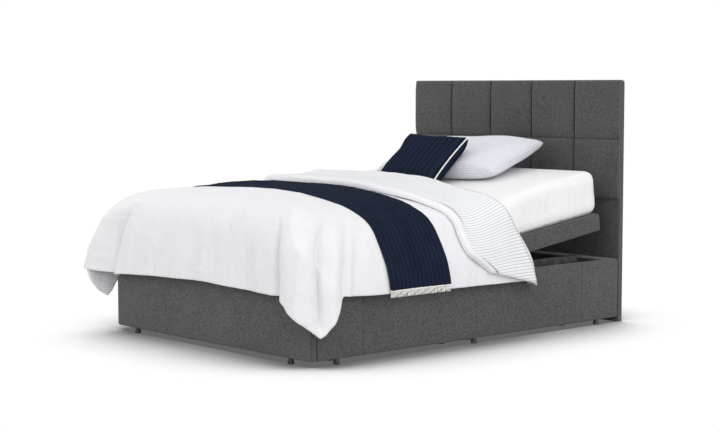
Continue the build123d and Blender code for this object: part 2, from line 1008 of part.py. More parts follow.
def fold_wave(distance):
    """The share of the fold depth at a distance along the hem."""
    return (1 - cos(2 * pi * distance / fold_pitch)) / 2


def drape_outline(side_out, foot_out, wave, flare_share):
    """The duvet's outline round the sides and the foot, as x and station.

    side_out and foot_out are how far it stands outside the base, wave is the depth of its
    folds, and flare_share how far its foot corners turn out towards their full reach.
    """
    half_fold = fold_pitch / 2
    side_count = ceil(duvet_end_station / half_fold)
    foot_count = ceil(bed_width / half_fold)
    reach = half_width + side_out
    length = duvet_end_station + foot_out
    side = [duvet_end_station - length * i / side_count for i in range(side_count)]
    corner_x = reach + flare_share * (side_reach - side_out)
    corner_s = -foot_out - flare_share * (foot_reach - foot_out)
    points = [(-reach - wave * fold_wave(i * half_fold), s) for i, s in enumerate(side)]
    points.append((-corner_x, corner_s))
    for i in range(1, foot_count):
        points.append((reach * (2 * i / foot_count - 1), -foot_out - wave * fold_wave(i * half_fold)))
    points.append((corner_x, corner_s))
    points += [(-x, s) for x, s in reversed(points[:side_count])]
    return points


def duvet_outside():
    """The duvet's outer form from the tips of its corners to its crown."""
    hanging = duvet_side_gap + duvet_thickness
    above_panel = panel_top + duvet_thickness
    at_mattress = duvet_thickness + duvet_top_gap - deck_inset
    at_foot = duvet_thickness + duvet_foot_gap - deck_foot_station
    levels = [
        (tip_bottom, hanging, hanging, fold_depth, 1),
        (duvet_hem, hanging, hanging, fold_depth, 1 / 2),
        (above_panel, hanging, hanging, fold_depth, 0),
        (mattress_top - 2 * mattress_corner_radius, duvet_thickness - deck_inset / 2, at_foot,
         fold_depth / 2, 0),
    ]
    low = mattress_top + 2 * soft_clearance
    for rise_share, inset_share in zip(crown_rise_shares, crown_inset_shares):
        inset = duvet_thickness * inset_share
        levels.append((low + duvet_crown * rise_share, at_mattress - inset, at_foot - inset, 0, 0))
    return ruled([
        [(x, at(s), z) for x, s in drape_outline(side_out, foot_out, wave, flare_share)]
        for z, side_out, foot_out, wave, flare_share in levels
    ])


def duvet_inside():
    """The room under the duvet that holds the mattress and the top of the base."""
    far = at(duvet_end_station) + overrun
    rings = []
    for z, side_gap, foot_gap in (
        (tip_bottom - overrun, duvet_side_gap, duvet_side_gap),
        (panel_top + duvet_thickness, duvet_side_gap, duvet_side_gap),
        (mattress_top - 2 * mattress_corner_radius, -deck_inset / 2,
         duvet_foot_gap - deck_foot_station),
        (mattress_top + 2 * soft_clearance, duvet_top_gap - deck_inset,
         duvet_foot_gap - deck_foot_station),
    ):
        x, near = half_width + side_gap, at(-foot_gap)
        rings.append([(-x, far, z), (-x, near, z), (x, near, z), (x, far, z)])
    return ruled(rings)


def below_hem():
    """Two prisms that trim the duvet to its hem and leave a point at each foot corner."""
    side_profile = Polyline(
        (at(-overrun), tip_bottom - overrun),
        (at(-overrun), tip_bottom),
        (at(tip_point_width), tip_bottom),
        (at(tip_leg), duvet_hem),
        (at(overrun), duvet_hem),
        (at(overrun), tip_bottom - overrun),
        close=True,
    )
    point_x, leg_x = half_width - tip_point_width, half_width - tip_leg
    foot_profile = Polyline(
        (-point_x, tip_bottom),
        (-leg_x, duvet_hem),
        (leg_x, duvet_hem),
        (point_x, tip_bottom),
        close=True,
    )
    under_sides = extrude(Plane.YZ.offset(-overrun) * make_face(side_profile), 2 * overrun)
    under_foot = extrude(Plane.XZ.offset(-overrun) * make_face(foot_profile), 2 * overrun)
    return [under_sides, under_foot]


def duvet_whole():
    """The duvet before it is divided between the deck sections."""
    whole = duvet_outside() - duvet_inside()
    for prism in below_hem():
        whole -= prism
    return whole


def slice_of(shape, start, end):
    """The part of a shape between two stations."""
    cutter = block(-overrun, overrun, at(start), at(end), 0, overrun)
    return shape & cutter


def arch(low_x, high_x, hem, top, corner):
    """Points over the bed from one hem to the other, low_x apart beside the base."""
    half = [
        (low_x, hem),
        (low_x, deck_bottom - duvet_side_gap),
        (high_x, deck_top),
        (high_x, top - corner),
        (high_x - corner, top - corner / 8),
        (high_x - 4 * corner, top),
    ]
    return [(-x, z) for x, z in half] + half[::-1]


def cloth_ring(top_station, hem_station, outer, inner):
    """A section of a cloth laid over the bed, in a plane that leans from top to hem."""
    top, hem = inner[len(inner) // 2][1], inner[0][1]
    slope = (hem_station - top_station) / (top - hem)
    return [(x, at(top_station + slope * (top - z)), z) for x, z in outer + inner[::-1]]


def over_duvet():
    """The half width and the height of a cloth that lies on the duvet."""
    reach = half_width + duvet_side_gap + duvet_thickness + fold_depth + soft_clearance
    return reach, mattress_top + duvet_crown + 3 * soft_clearance


def turn_back():
    """The head end of the duvet folded back over itself, with a rolled edge."""
    reach, top = over_duvet()
    side_limit = half_width + side_reach - soft_clearance
    roll, thick, hem = turn_back_roll, turn_back_thickness, turn_back_hem
    r = mattress_corner_radius
    fall = (turn_back_tip_station - turn_back_hem_station) / 2
    past_duvet = duvet_end_station + soft_clearance
    on_duvet = arch(reach, reach, hem, top, r)
    rings = []
    for station, hem_station, depth in (
        (turn_back_station, turn_back_hem_station, thick / 2),
        (turn_back_station + roll, turn_back_hem_station + roll, thick + roll / 2),
        (turn_back_station + 3 * roll, turn_back_hem_station + 3 * roll, thick),
        (past_duvet, turn_back_hem_station + fall, thick),
    ):
        outer_x = min(reach + depth / 2, side_limit)
        outer = arch(outer_x, outer_x, hem, top + depth, r)
        rings.append(cloth_ring(station, hem_station, outer, on_duvet))
    low_reach = half_width + duvet_side_gap
    high_reach = deck_half_width + duvet_top_gap
    rest = mattress_top + 3 * soft_clearance
    full, end = thick + duvet_crown, thick
    for (station, low), hem_station, depth in (
        ((past_duvet + roll / 2, rest), turn_back_hem_station + fall + roll, full),
        (raised_point(turn_back_end_station - 2 * roll, rest), turn_back_tip_station - 2 * roll, full),
        (raised_point(turn_back_end_station, rest), turn_back_tip_station, end),
    ):
        outer_x = min(reach + thick / 2, side_limit)
        outer = arch(outer_x, outer_x - duvet_top_gap, hem, low + depth, r)
        inner = arch(low_reach, high_reach, hem, low, r / 4)
        rings.append(cloth_ring(station, hem_station, outer, inner))
    return ruled(rings)


def runner():
    """The runner laid across the duvet and hanging down both sides."""
    reach, top = over_duvet()
    r = mattress_corner_radius
    rings = []
    for station in (runner_start_station, runner_end_station):
        outer_x = reach + runner_thickness
        outer = arch(outer_x, outer_x, runner_hem, top + runner_thickness, r)
        inner = arch(reach, reach, runner_hem, top, r)
        rings.append(cloth_ring(station, station, outer, inner))
    return ruled(rings)


def runner_fringe():
    """Tassels along both hems of the runner."""
    over = over_duvet()[0]
    pitch = (runner_end_station - runner_start_station) / fringe_strand_count
    width = pitch * fringe_strand_share
    combs = []
    for side in (-1, 1):
        xs = sorted((side * over, side * (over + runner_thickness)))
        header = block(
            xs[0], xs[1], at(runner_start_station), at(runner_end_station),
            runner_hem - runner_thickness, runner_hem,
        )
        comb = header
        for i in range(fringe_strand_count):
            y = at(runner_start_station + (i + 1 / 2) * pitch)
            comb += block(
                xs[0], xs[1], y - width / 2, y + width / 2,
                runner_hem - fringe_drop, runner_hem - runner_thickness / 2,
            )
        combs.append(comb)
    return group(combs)


# Pillow and cushion


def pad_solid(length, width, height, under_share, sections, channel_depth):
    """A crowned pad with drawn-in sides and a seam all round, thickest in the middle.

    under_share is how far its underside swells beside its top. sections is how many
    stations it has along X; with a channel depth, every second one is sewn in.
    """
    crown = height / (1 + under_share)
    over, under = [], []
    for i in range(sections + 1):
        u = 2 * i / sections - 1
        sewn = channel_depth if i % 2 else 0
        top, bottom = [], []
        for v in pad_across_shares:
            x = u * length / 2 * (1 - pad_draw_in_share * (1 - v * v))
            y = v * width / 2 * (1 - pad_draw_in_share * (1 - u * u))
            swell_share = ((1 - u ** pad_fullness) * (1 - v ** pad_fullness)) ** 0.5
            rise = crown * swell_share
            top.append(Vector(x, y, max(0, rise - min(sewn, rise / 2))))
            bottom.append(Vector(x, y, -rise * under_share))
        over.append(top)
        under.append(bottom)
    faces = []
    strips = len(pad_across_shares) - 1
    for i in range(sections):
        for j in range(strips):
            towards_corner = (2 * i < sections) == (2 * j < strips)
            for grid in (over, under):
                cell = [grid[i][j], grid[i + 1][j], grid[i + 1][j + 1], grid[i][j + 1]]
                if not towards_corner:
                    cell = cell[1:] + cell[:1]
                a, b, c, d = cell
                faces += [Face(Wire.make_polygon([a, b, c])), Face(Wire.make_polygon([a, c, d]))]
    return Solid(Shell(faces))


def on_mattress(shape, station, side_offset, lean, turn):
    """A pad laid on the head of the mattress, leaning back, and raised with the section."""
    leaning = Pos(side_offset, at(station), 0) * Rot(0, 0, turn) * Rot(lean, 0, 0) * shape
    lift = mattress_top + soft_clearance - leaning.bounding_box().min.Z
    return raised_head(Pos(0, 0, lift) * leaning)


def pillow(clearance):
    """The sleeping pillow, leaning back towards the headboard, grown by a clearance."""
    grown = 2 * clearance
    solid = pad_solid(
        pillow_length + grown, pillow_width + grown, pillow_height + grown,
        pillow_under_share, pillow_section_count, 0,
    )
    return on_mattress(solid, pillow_station, pillow_side_offset, pillow_lean, pillow_turn)


def cushion():
    """The small channelled cushion, pressed against the pillow that it leans on."""
    solid = pad_solid(
        cushion_length, cushion_width, cushion_height, cushion_under_share,
        2 * cushion_channel_count, cushion_channel_depth,
    )
    placed = on_mattress(solid, cushion_station, cushion_side_offset, cushion_lean, cushion_turn)
    return placed - pillow(2 * soft_clearance)


def write_base():
    """Base, headboard and lifting frame."""
    save("foot_panel", foot_panel())
    save("side_panel_right", side_panel(1))
    save("side_panel_left", side_panel(-1))
    save("head_rail", head_rail())
    save("corner_blocks", corner_blocks())
    save("panel_glides", glides())
    save("headboard_board", headboard_board())
    for row, name in enumerate(("upper", "lower")):
        tiles = [headboard_tile(column, row) for column in range(tile_columns)]
        save(f"headboard_tiles_{name}", group(tiles))
    save("headboard_bolts", headboard_bolts())
    save("frame_rails", group([side_rail(side) for side in (-1, 1)]))
    save("rail_end_caps", rail_end_caps())
    high = rail_top - (rail_height - cross_tube_size) / 2
    end_stations = (rail_foot_station + end_tube_inset, rail_head_station - end_tube_inset)
    save("end_cross_tubes", group([cross_tube(station, high) for station in end_stations]))
    drive_stations = (head_clevis_station, thigh_clevis_station)
    save("drive_tubes", group([cross_tube(station, drive_tube_top) for station in drive_stations]))
    save("frame_legs", group([legs(side) for side in (-1, 1)]))
    save("leg_feet", leg_feet())
    save("frame_ties", frame_ties())
    save("deck_buffers", deck_buffers())
    save("seat_spacers", seat_spacers())
    save("control_box", control_box())


def write_deck():
    """Deck sections and hinges."""
    half_gap = section_gap / 2
    save("calf_platform", deck_section(deck_foot_station, knee_station - half_gap))
    save("thigh_platform", deck_section(knee_station + half_gap, thigh_hinge_station - half_gap))
    save("seat_platform",
         deck_section(thigh_hinge_station + half_gap, head_hinge_station - half_gap))
    save("head_platform",
         raised_head(deck_section(head_hinge_station + half_gap, deck_head_station)))
    save("seat_hinge_leaves", group([
        hinge_leaves(head_hinge_station, hinge_height, -1, -1, True),
        hinge_leaves(thigh_hinge_station, hinge_height, -1, 1, True),
    ]))
    save("seat_hinge_pins", group([
        hinge_pins(head_hinge_station, hinge_height),
        hinge_pins(thigh_hinge_station, hinge_height),
    ]))
    save("head_hinge_leaves",
         raised_head(hinge_leaves(head_hinge_station, hinge_height, -1, 1, False)))
    save("thigh_hinge_leaves",
         hinge_leaves(thigh_hinge_station, hinge_height, -1, -1, False))
    save("knee_hinge_thigh_leaves", hinge_leaves(knee_station, knee_height, 1, 1, True))
    save("knee_hinge_calf_leaves", hinge_leaves(knee_station, knee_height, 1, -1, False))
    save("knee_hinge_pins", hinge_pins(knee_station, knee_height))


def write_motors():
    """Both lifting motors with their clevises and lugs."""
    head_pin_flat = (head_hinge_station + head_pin_reach, hinge_height - head_pin_drop)
    head_end = raised_point(*head_pin_flat)
    head_start = (head_clevis_station, head_clevis_height)
    thigh_end = (thigh_hinge_station - thigh_pin_reach, hinge_height - thigh_pin_drop)
    thigh_start = (thigh_clevis_station, thigh_clevis_height)
    half_lugs = eye_thickness / 2 + link_side_gap + lug_thickness + link_side_gap
    clevises = []
    for name, side, start, end, slack in (
        ("head", 1, head_start, head_end, head_slot_slack),
        ("leg", -1, thigh_start, thigh_end, thigh_slot_slack),
    ):
        reach = hypot(end[0] - start[0], end[1] - start[1])
        place = (side, start[0], start[1], end[0], end[1])
        clevises.append(clevis(side, *start))
        save(f"{name}_motor_housing", placed_motor(motor_housing(1), *place))
        save(f"{name}_motor_rod", placed_motor(motor_rod(reach), *place))
        save(f"{name}_motor_rod_pin", placed_motor(rod_pin(reach, half_lugs, slack), *place))
        print(f"{name} motor: tail {start}, rod eye {end}, length {reach:.1f}")
    save("motor_clevises", group(clevises))
    save("head_lift_lugs", raised_head(
        lift_lugs(1, head_hinge_station, 1, head_pin_reach, head_pin_drop, head_slot_slack)
    ))
    save("thigh_lift_lugs",
         lift_lugs(-1, thigh_hinge_station, -1, thigh_pin_reach, thigh_pin_drop, thigh_slot_slack))


def write_links():
    """The calf links with their brackets, and every pin that turns on the frame."""
    end_station = link_anchor_station + knee_station - thigh_hinge_station
    end_height = link_anchor_height + knee_height - hinge_height
    half = link_thickness / 2 + link_side_gap
    through_bracket = half + link_bracket_thickness + link_side_gap
    sides = (-1, 1)
    save("calf_links", group([link_bar(side) for side in sides]))
    half_clevis = clevis_gap / 2 + clevis_thickness + running_clearance
    frame_pins = [
        motor_pin(1, head_clevis_station, head_clevis_height, half_clevis),
        motor_pin(-1, thigh_clevis_station, thigh_clevis_height, half_clevis),
    ]
    frame_pins += [
        link_pin(side, link_anchor_station, link_anchor_height, half, link_offset)
        for side in sides
    ]
    save("frame_pivot_pins", group(frame_pins))
    save("calf_brackets", group([calf_bracket(side) for side in sides]))
    save("link_calf_pins", group([
        link_pin(side, end_station, end_height, through_bracket, half) for side in sides
    ]))


def write_bedding():
    """Mattress, sheet, duvet, runner, pillow and cushion."""
    for name, planes in mattress_planes().items():
        save(f"mattress_{name}", mattress_stretch(planes, sheet_thickness))
        save(f"fitted_sheet_{name}", fitted_sheet(planes))
    whole = duvet_whole()
    save("duvet_foot", slice_of(whole, -overrun, knee_station))
    save("duvet_middle", slice_of(whole, knee_station, thigh_hinge_station))
    save("duvet_seat", slice_of(whole, thigh_hinge_station, duvet_end_station + overrun))
    save("duvet_turn_back", turn_back())
    save("runner", runner())
    save("runner_fringe", runner_fringe())
    save("pillow", pillow(0))
    save("cushion", cushion())


write_base()
write_deck()
write_motors()
write_links()
write_bedding()
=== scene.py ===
"""Adjustable bed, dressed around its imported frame.

Lengths are metres in the frame's own axes: +Z up, +Y from the foot to the headboard, +X towards
the side that the camera sees. A station is a distance from the outer face of the foot panel.
"""

from __future__ import annotations

import json
import logging
import math
from collections.abc import Sequence
from dataclasses import dataclass, field, replace
from enum import Enum

import bmesh
import bpy
import numpy as np
from mathutils import Matrix, Vector, noise

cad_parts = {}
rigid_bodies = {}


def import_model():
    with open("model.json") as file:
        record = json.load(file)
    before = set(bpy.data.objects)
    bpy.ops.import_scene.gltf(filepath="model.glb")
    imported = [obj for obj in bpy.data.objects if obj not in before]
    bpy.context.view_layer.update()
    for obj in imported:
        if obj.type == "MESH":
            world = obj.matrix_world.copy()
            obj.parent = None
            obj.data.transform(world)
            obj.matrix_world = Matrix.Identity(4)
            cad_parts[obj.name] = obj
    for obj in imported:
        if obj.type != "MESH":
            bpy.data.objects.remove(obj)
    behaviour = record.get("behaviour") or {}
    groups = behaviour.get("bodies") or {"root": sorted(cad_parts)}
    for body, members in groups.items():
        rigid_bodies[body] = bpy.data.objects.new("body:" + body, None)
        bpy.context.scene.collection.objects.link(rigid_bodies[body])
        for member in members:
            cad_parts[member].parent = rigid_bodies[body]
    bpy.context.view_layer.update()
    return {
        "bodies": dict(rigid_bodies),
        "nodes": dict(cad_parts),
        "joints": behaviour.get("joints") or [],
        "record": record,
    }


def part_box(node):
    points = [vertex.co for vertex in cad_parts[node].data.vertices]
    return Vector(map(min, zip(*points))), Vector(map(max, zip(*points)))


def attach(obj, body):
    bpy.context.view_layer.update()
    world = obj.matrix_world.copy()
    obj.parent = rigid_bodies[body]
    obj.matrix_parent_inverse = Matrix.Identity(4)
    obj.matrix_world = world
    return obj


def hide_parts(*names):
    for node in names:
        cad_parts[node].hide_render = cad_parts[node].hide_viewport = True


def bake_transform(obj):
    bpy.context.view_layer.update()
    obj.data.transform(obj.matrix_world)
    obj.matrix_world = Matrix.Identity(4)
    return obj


LOG = logging.getLogger("adjustable_bed")
CLOTH_MAP = "cloth"
PANEL_SEAMS = (0.282, 1.698)
CORD_FACES = 8
UNDERSIDE = -1.0
FILLING_FRAMES = 20
FILLED_COTTON = {
    "quality": 6, "mass": 0.3, "tension_stiffness": 30, "compression_stiffness": 12,
    "shear_stiffness": 8, "bending_stiffness": 0.6,
}

Colour = tuple[float, float, float]
Pair = tuple[float, float]
Piece = bpy.types.Object
Socket = bpy.types.NodeSocket


class Body(Enum):
    """The moving bodies that pieces ride on."""

    BASE = "base"
    HEAD = "head_section"
    THIGH = "thigh_section"
    CALF = "calf_section"


class Axis(Enum):
    """A direction of a flat pattern on a cloth."""

    ACROSS = 0
    ALONG = 1


def smooth(low: float, high: float, value: np.ndarray | float) -> np.ndarray:
    """A soft step from 0 at low to 1 at high.

    Args:
        low: where the step starts.
        high: where it ends; it may be below low.
        value: one number or an array.

    Returns:
        The step's value, as an array.
    """
    share = np.clip((np.asarray(value, float) - low) / (high - low), 0, 1)
    return share * share * (3 - 2 * share)


def ripple(points: np.ndarray, pitch: Sequence[float], seed: float) -> np.ndarray:
    """Smooth noise between about -1 and 1 over an array of places.

    Args:
        points: places, an array whose last axis has two or three numbers.
        pitch: the size of one ripple along each axis, in metres.
        seed: moves the pattern.

    Returns:
        One value for each place.
    """
    flat = points.reshape(-1, points.shape[-1])
    values = []
    for place in flat:
        scaled = [coordinate / step for coordinate, step in zip(place, pitch)] + [seed]
        values.append(noise.noise(Vector(scaled[:3]) + Vector((0, 0, seed))))
    return np.array(values).reshape(points.shape[:-1])


def curve_through(points: np.ndarray, steps: np.ndarray) -> np.ndarray:
    """A smooth line through points that doesn't swing past them.

    Args:
        points: the points, one row each.
        steps: where to read the line; whole numbers are the points themselves.

    Returns:
        One row for each step.
    """
    points = np.asarray(points, float)
    ends = np.vstack([2 * points[0] - points[1], points, 2 * points[-1] - points[-2]])
    steps = np.clip(np.asarray(steps, float), 0, len(points) - 1 - 1e-9)
    index = steps.astype(int)
    t = (steps - index)[..., None]
    before, here, after, later = (ends[index + i] for i in range(4))
    slope_in, slope_out = (after - before) / 2, (later - here) / 2
    return (
        here * (2 * t**3 - 3 * t**2 + 1)
        + slope_in * (t**3 - 2 * t**2 + t)
        + after * (3 * t**2 - 2 * t**3)
        + slope_out * (t**3 - t**2)
    )


def curve_over(table: Sequence[Pair], places: np.ndarray) -> np.ndarray:
    """Read a smooth line through a table of places and values."""
    where, values = np.array(table).T
    index = np.interp(places, where, np.arange(len(where)))
    return curve_through(values[:, None], index.ravel())[:, 0].reshape(index.shape)


def unit(ways: np.ndarray) -> np.ndarray:
    """Directions brought to length one."""
    return ways / np.maximum(np.linalg.norm(ways, axis=-1, keepdims=True), 1e-9)


def beside(ahead: np.ndarray) -> np.ndarray:
    """The unit directions to the left of flat directions."""
    ahead = unit(ahead)
    return np.stack([-ahead[..., 1], ahead[..., 0]], axis=-1)


def crowded(count: int, share: float) -> np.ndarray:
    """Marks from -1 to 1 that crowd towards both ends by a share."""
    even = np.linspace(-1, 1, count)
    return share * np.sin(even * math.pi / 2) + (1 - share) * even


def new_object(name: str, mesh: bpy.types.Mesh) -> Piece:
    """Put a mesh in the scene as a piece."""
    piece = bpy.data.objects.new(name, mesh)
    bpy.context.scene.collection.objects.link(piece)
    return piece


def cloth_piece(
    name: str,
    grid: np.ndarray,
    flat: np.ndarray,
    close_rows: bool = False,
    close_columns: bool = False,
) -> Piece:
    """Make a piece from a grid of places.

    Args:
        name: the piece's name.
        grid: rows by columns by three coordinates.
        flat: rows by columns by two coordinates on the flat cloth, kept as its UV map.
        close_rows: joins the last row to the first.
        close_columns: joins the last column to the first.

    Returns:
        The piece, smooth shaded, with doubled points welded.
    """
    rows, columns = grid.shape[:2]
    faces = []
    for i in range(rows if close_rows else rows - 1):
        for j in range(columns if close_columns else columns - 1):
            k, m = (i + 1) % rows, (j + 1) % columns
            faces.append((i * columns + j, i * columns + m, k * columns + m, k * columns + j))
    mesh = bpy.data.meshes.new(name)
    mesh.from_pydata(grid.reshape(-1, 3).tolist(), [], faces)
    layer = mesh.uv_layers.new(name=CLOTH_MAP)
    corners = np.array([vertex for face in faces for vertex in face])
    layer.data.foreach_set("uv", flat.reshape(-1, 2)[corners].astype(np.float32).ravel())
    mesh.update()
    piece = new_object(name, mesh)
    weld(piece)
    shade_smooth(piece)
    return piece


def weld(piece: Piece, distance: float = 1e-5) -> None:
    """Join doubled points and drop faces with no area."""
    work = bmesh.new()
    work.from_mesh(piece.data)
    bmesh.ops.remove_doubles(work, verts=work.verts, dist=distance)
    bmesh.ops.dissolve_degenerate(work, edges=work.edges, dist=distance / 10)
    bmesh.ops.recalc_face_normals(work, faces=work.faces)
    work.to_mesh(piece.data)
    work.free()


def shade_smooth(piece: Piece) -> None:
    """Shade every face of a piece smoothly."""
    piece.data.polygons.foreach_set("use_smooth", [True] * len(piece.data.polygons))
    piece.data.update()


def apply_modifiers(piece: Piece) -> None:
    """Turn a piece's modifiers into its mesh."""
    shape = piece.evaluated_get(bpy.context.evaluated_depsgraph_get())
    mesh = bpy.data.meshes.new_from_object(shape)
    piece.modifiers.clear()
    piece.data = mesh


def join(name: str, pieces: Sequence[Piece]) -> Piece:
    """Join several pieces into one under a new name."""
    with bpy.context.temp_override(
        active_object=pieces[0],
        selected_editable_objects=list(pieces),
        selected_objects=list(pieces),
    ):
        bpy.ops.object.join()
    pieces[0].name = name
    return pieces[0]


def split_across(
    piece: Piece, places: Sequence[float], names: Sequence[str]
) -> list[Piece]:
    """Cut a piece at planes across the bed and keep its shading whole over the cuts.

    Args:
        piece: the piece to cut; it is removed.
        places: the y of each cut, rising.
        names: the names of the parts, one more than the cuts.

    Returns:
        The parts, from the foot to the head.
    """
    parts = []
    edges = [-math.inf, *places, math.inf]
    for name, low, high in zip(names, edges, edges[1:]):
        work = bmesh.new()
        work.from_mesh(piece.data)
        keep = work.verts.layers.float_vector.new("whole_normal")
        for vertex in work.verts:
            vertex[keep] = vertex.normal
        for place, outward in ((low, -1), (high, 1)):
            if math.isfinite(place):
                cut = bmesh.ops.bisect_plane(
                    work,
                    geom=[*work.verts, *work.edges, *work.faces],
                    plane_co=(0, place, 0),
                    plane_no=(0, outward, 0),
                    clear_outer=True,
                )["geom_cut"]
                rim = [edge for edge in cut if isinstance(edge, bmesh.types.BMEdge)]
                bmesh.ops.holes_fill(work, edges=rim, sides=0)
        mesh = bpy.data.meshes.new(name)
        work.to_mesh(mesh)
        work.free()
        part = new_object(name, mesh)
        for material in piece.data.materials:
            mesh.materials.append(material)
        shade_smooth(part)
        normals = np.zeros(len(mesh.vertices) * 3, np.float32)
        mesh.attributes["whole_normal"].data.foreach_get("vector", normals)
        mesh.normals_split_custom_set_from_vertices(normals.reshape(-1, 3).tolist())
        mesh.attributes.remove(mesh.attributes["whole_normal"])
        parts.append(part)
    bpy.data.objects.remove(piece)
    return parts


def thicken(piece: Piece, thickness: float, inner_material: int = 0) -> None:
    """Give a single surface a thickness inwards, with a finish for its inside, and apply it."""
    wall = piece.modifiers.new("thickness", "SOLIDIFY")
    wall.thickness = thickness
    wall.offset = -1
    wall.material_offset = inner_material
    wall.use_rim = True
    apply_modifiers(piece)


def inflate(piece: Piece, pressure: float, cap: float) -> None:
    """Swell a closed fabric piece as its filling would, with the creases that it brings.

    Args:
        piece: a closed piece; its mesh is replaced.
        pressure: the filling's pressure.
        cap: the furthest that a point may move.
    """
    start = np.array([v.co for v in piece.data.vertices])
    cloth = piece.modifiers.new("filling", "CLOTH")
    settings = cloth.settings
    for setting, value in FILLED_COTTON.items():
        setattr(settings, setting, value)
    settings.use_pressure = True
    settings.uniform_pressure_force = pressure
    settings.effector_weights.gravity = 0
    cloth.collision_settings.use_collision = False
    scene = bpy.context.scene
    cloth.point_cache.frame_start = 1
    cloth.point_cache.frame_end = FILLING_FRAMES
    for frame in range(1, FILLING_FRAMES + 1):
        scene.frame_set(frame)
    apply_modifiers(piece)
    scene.frame_set(1)
    moved = np.array([v.co for v in piece.data.vertices]) - start
    length = np.linalg.norm(moved, axis=1, keepdims=True)
    moved *= np.minimum(1, cap / np.maximum(length, 1e-9))
    piece.data.vertices.foreach_set("co", (start + moved).ravel())
    piece.data.update()


@dataclass
class Plan:
    """The bed's main places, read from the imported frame."""

    foot: float = field(init=False)
    half_width: float = field(init=False)
    deck_half_width: float = field(init=False)
    deck_top: float = field(init=False)
    mattress_top: float = field(init=False)
    mattress_end: float = field(init=False)
    head_hinge: Pair = field(init=False)
    thigh_hinge: Pair = field(init=False)
    knee: Pair = field(init=False)
    rest_angle: float = math.radians(7.95)
    fold_half: float = 0.137
    bedding_rise: Pair = (0.25, 0.64)

    def __post_init__(self) -> None:
        """Read the frame's boxes."""
        low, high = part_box("foot_panel")
        self.foot, self.half_width = low.y, high.x
        self.deck_half_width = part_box("thigh_platform")[1].x
        self.deck_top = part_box("thigh_platform")[1].z
        self.mattress_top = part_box("fitted_sheet_thigh")[1].z
        self.mattress_end = 1.893

    def read_joints(self, joints: Sequence[dict]) -> None:
        """Take the hinge lines from the frame's joints."""
        places = {joint["name"]: joint["pos_m"] for joint in joints if "pos_m" in joint}
        self.head_hinge = (places["head_tilt"][1] - self.foot, places["head_tilt"][2])
        self.thigh_hinge = (places["thigh_tilt"][1] - self.foot, places["thigh_tilt"][2])
        self.knee = (places["knee_bend"][1] - self.foot, places["knee_bend"][2])

    def at(self, station: float) -> float:
        """The y of a station."""
        return self.foot + station

    def raised(self, flat: np.ndarray, low: float = -1, full: float = 0) -> np.ndarray:
        """Lean flat places back with the head section, softly over its fold.

        Args:
            flat: places in x, station and height.
            low: the height at or below which nothing moves.
            full: the height from which places move in full.

        Returns:
            The places in the frame's axes.
        """
        hinge = self.head_hinge[0]
        share = smooth(hinge - self.fold_half, hinge + self.fold_half, flat[..., 1])
        weight = smooth(low, full, flat[..., 2])[..., None]
        placed = flat + (self.leaned(flat, share * self.rest_angle) - flat) * weight
        placed[..., 1] += self.foot
        return placed

    def leaned(self, flat: np.ndarray, angle: np.ndarray | float) -> np.ndarray:
        """Turn flat places about the head hinge's line by an angle."""
        hinge, level = self.head_hinge
        along, up = flat[..., 1] - hinge, flat[..., 2] - level
        turned = flat.copy()
        turned[..., 1] = hinge + along * np.cos(angle) - up * np.sin(angle)
        turned[..., 2] = level + along * np.sin(angle) + up * np.cos(angle)
        return turned


class Fold(Enum):
    """Where a soft piece bends: the bodies it joins, and the stations it bends from and to."""

    KNEE = (Body.CALF, Body.THIGH, 0.400, 0.600)
    THIGH = (Body.THIGH, Body.BASE, 0.755, 0.950)
    BEDDING_AT_HEAD = (Body.BASE, Body.HEAD, 1.000, 1.200)
    MATTRESS_AT_HEAD = (Body.BASE, Body.HEAD, 0.945, 1.214)

    def bend(self, piece: Piece, plan: Plan) -> None:
        """Bake a piece's placement into its mesh; the fold's bodies and stations are read but nothing
        bends the piece between them.
        """
        first, second, start, end = self.value
        start, end = ((0, plan.at(station), 0.6) for station in (start, end))
        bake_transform(piece)


def rgba(colour: Colour, factor: float = 1) -> tuple[float, float, float, float]:
    """A colour with its alpha, brighter or darker by a factor."""
    return (*(min(1.0, channel * factor) for channel in colour), 1.0)


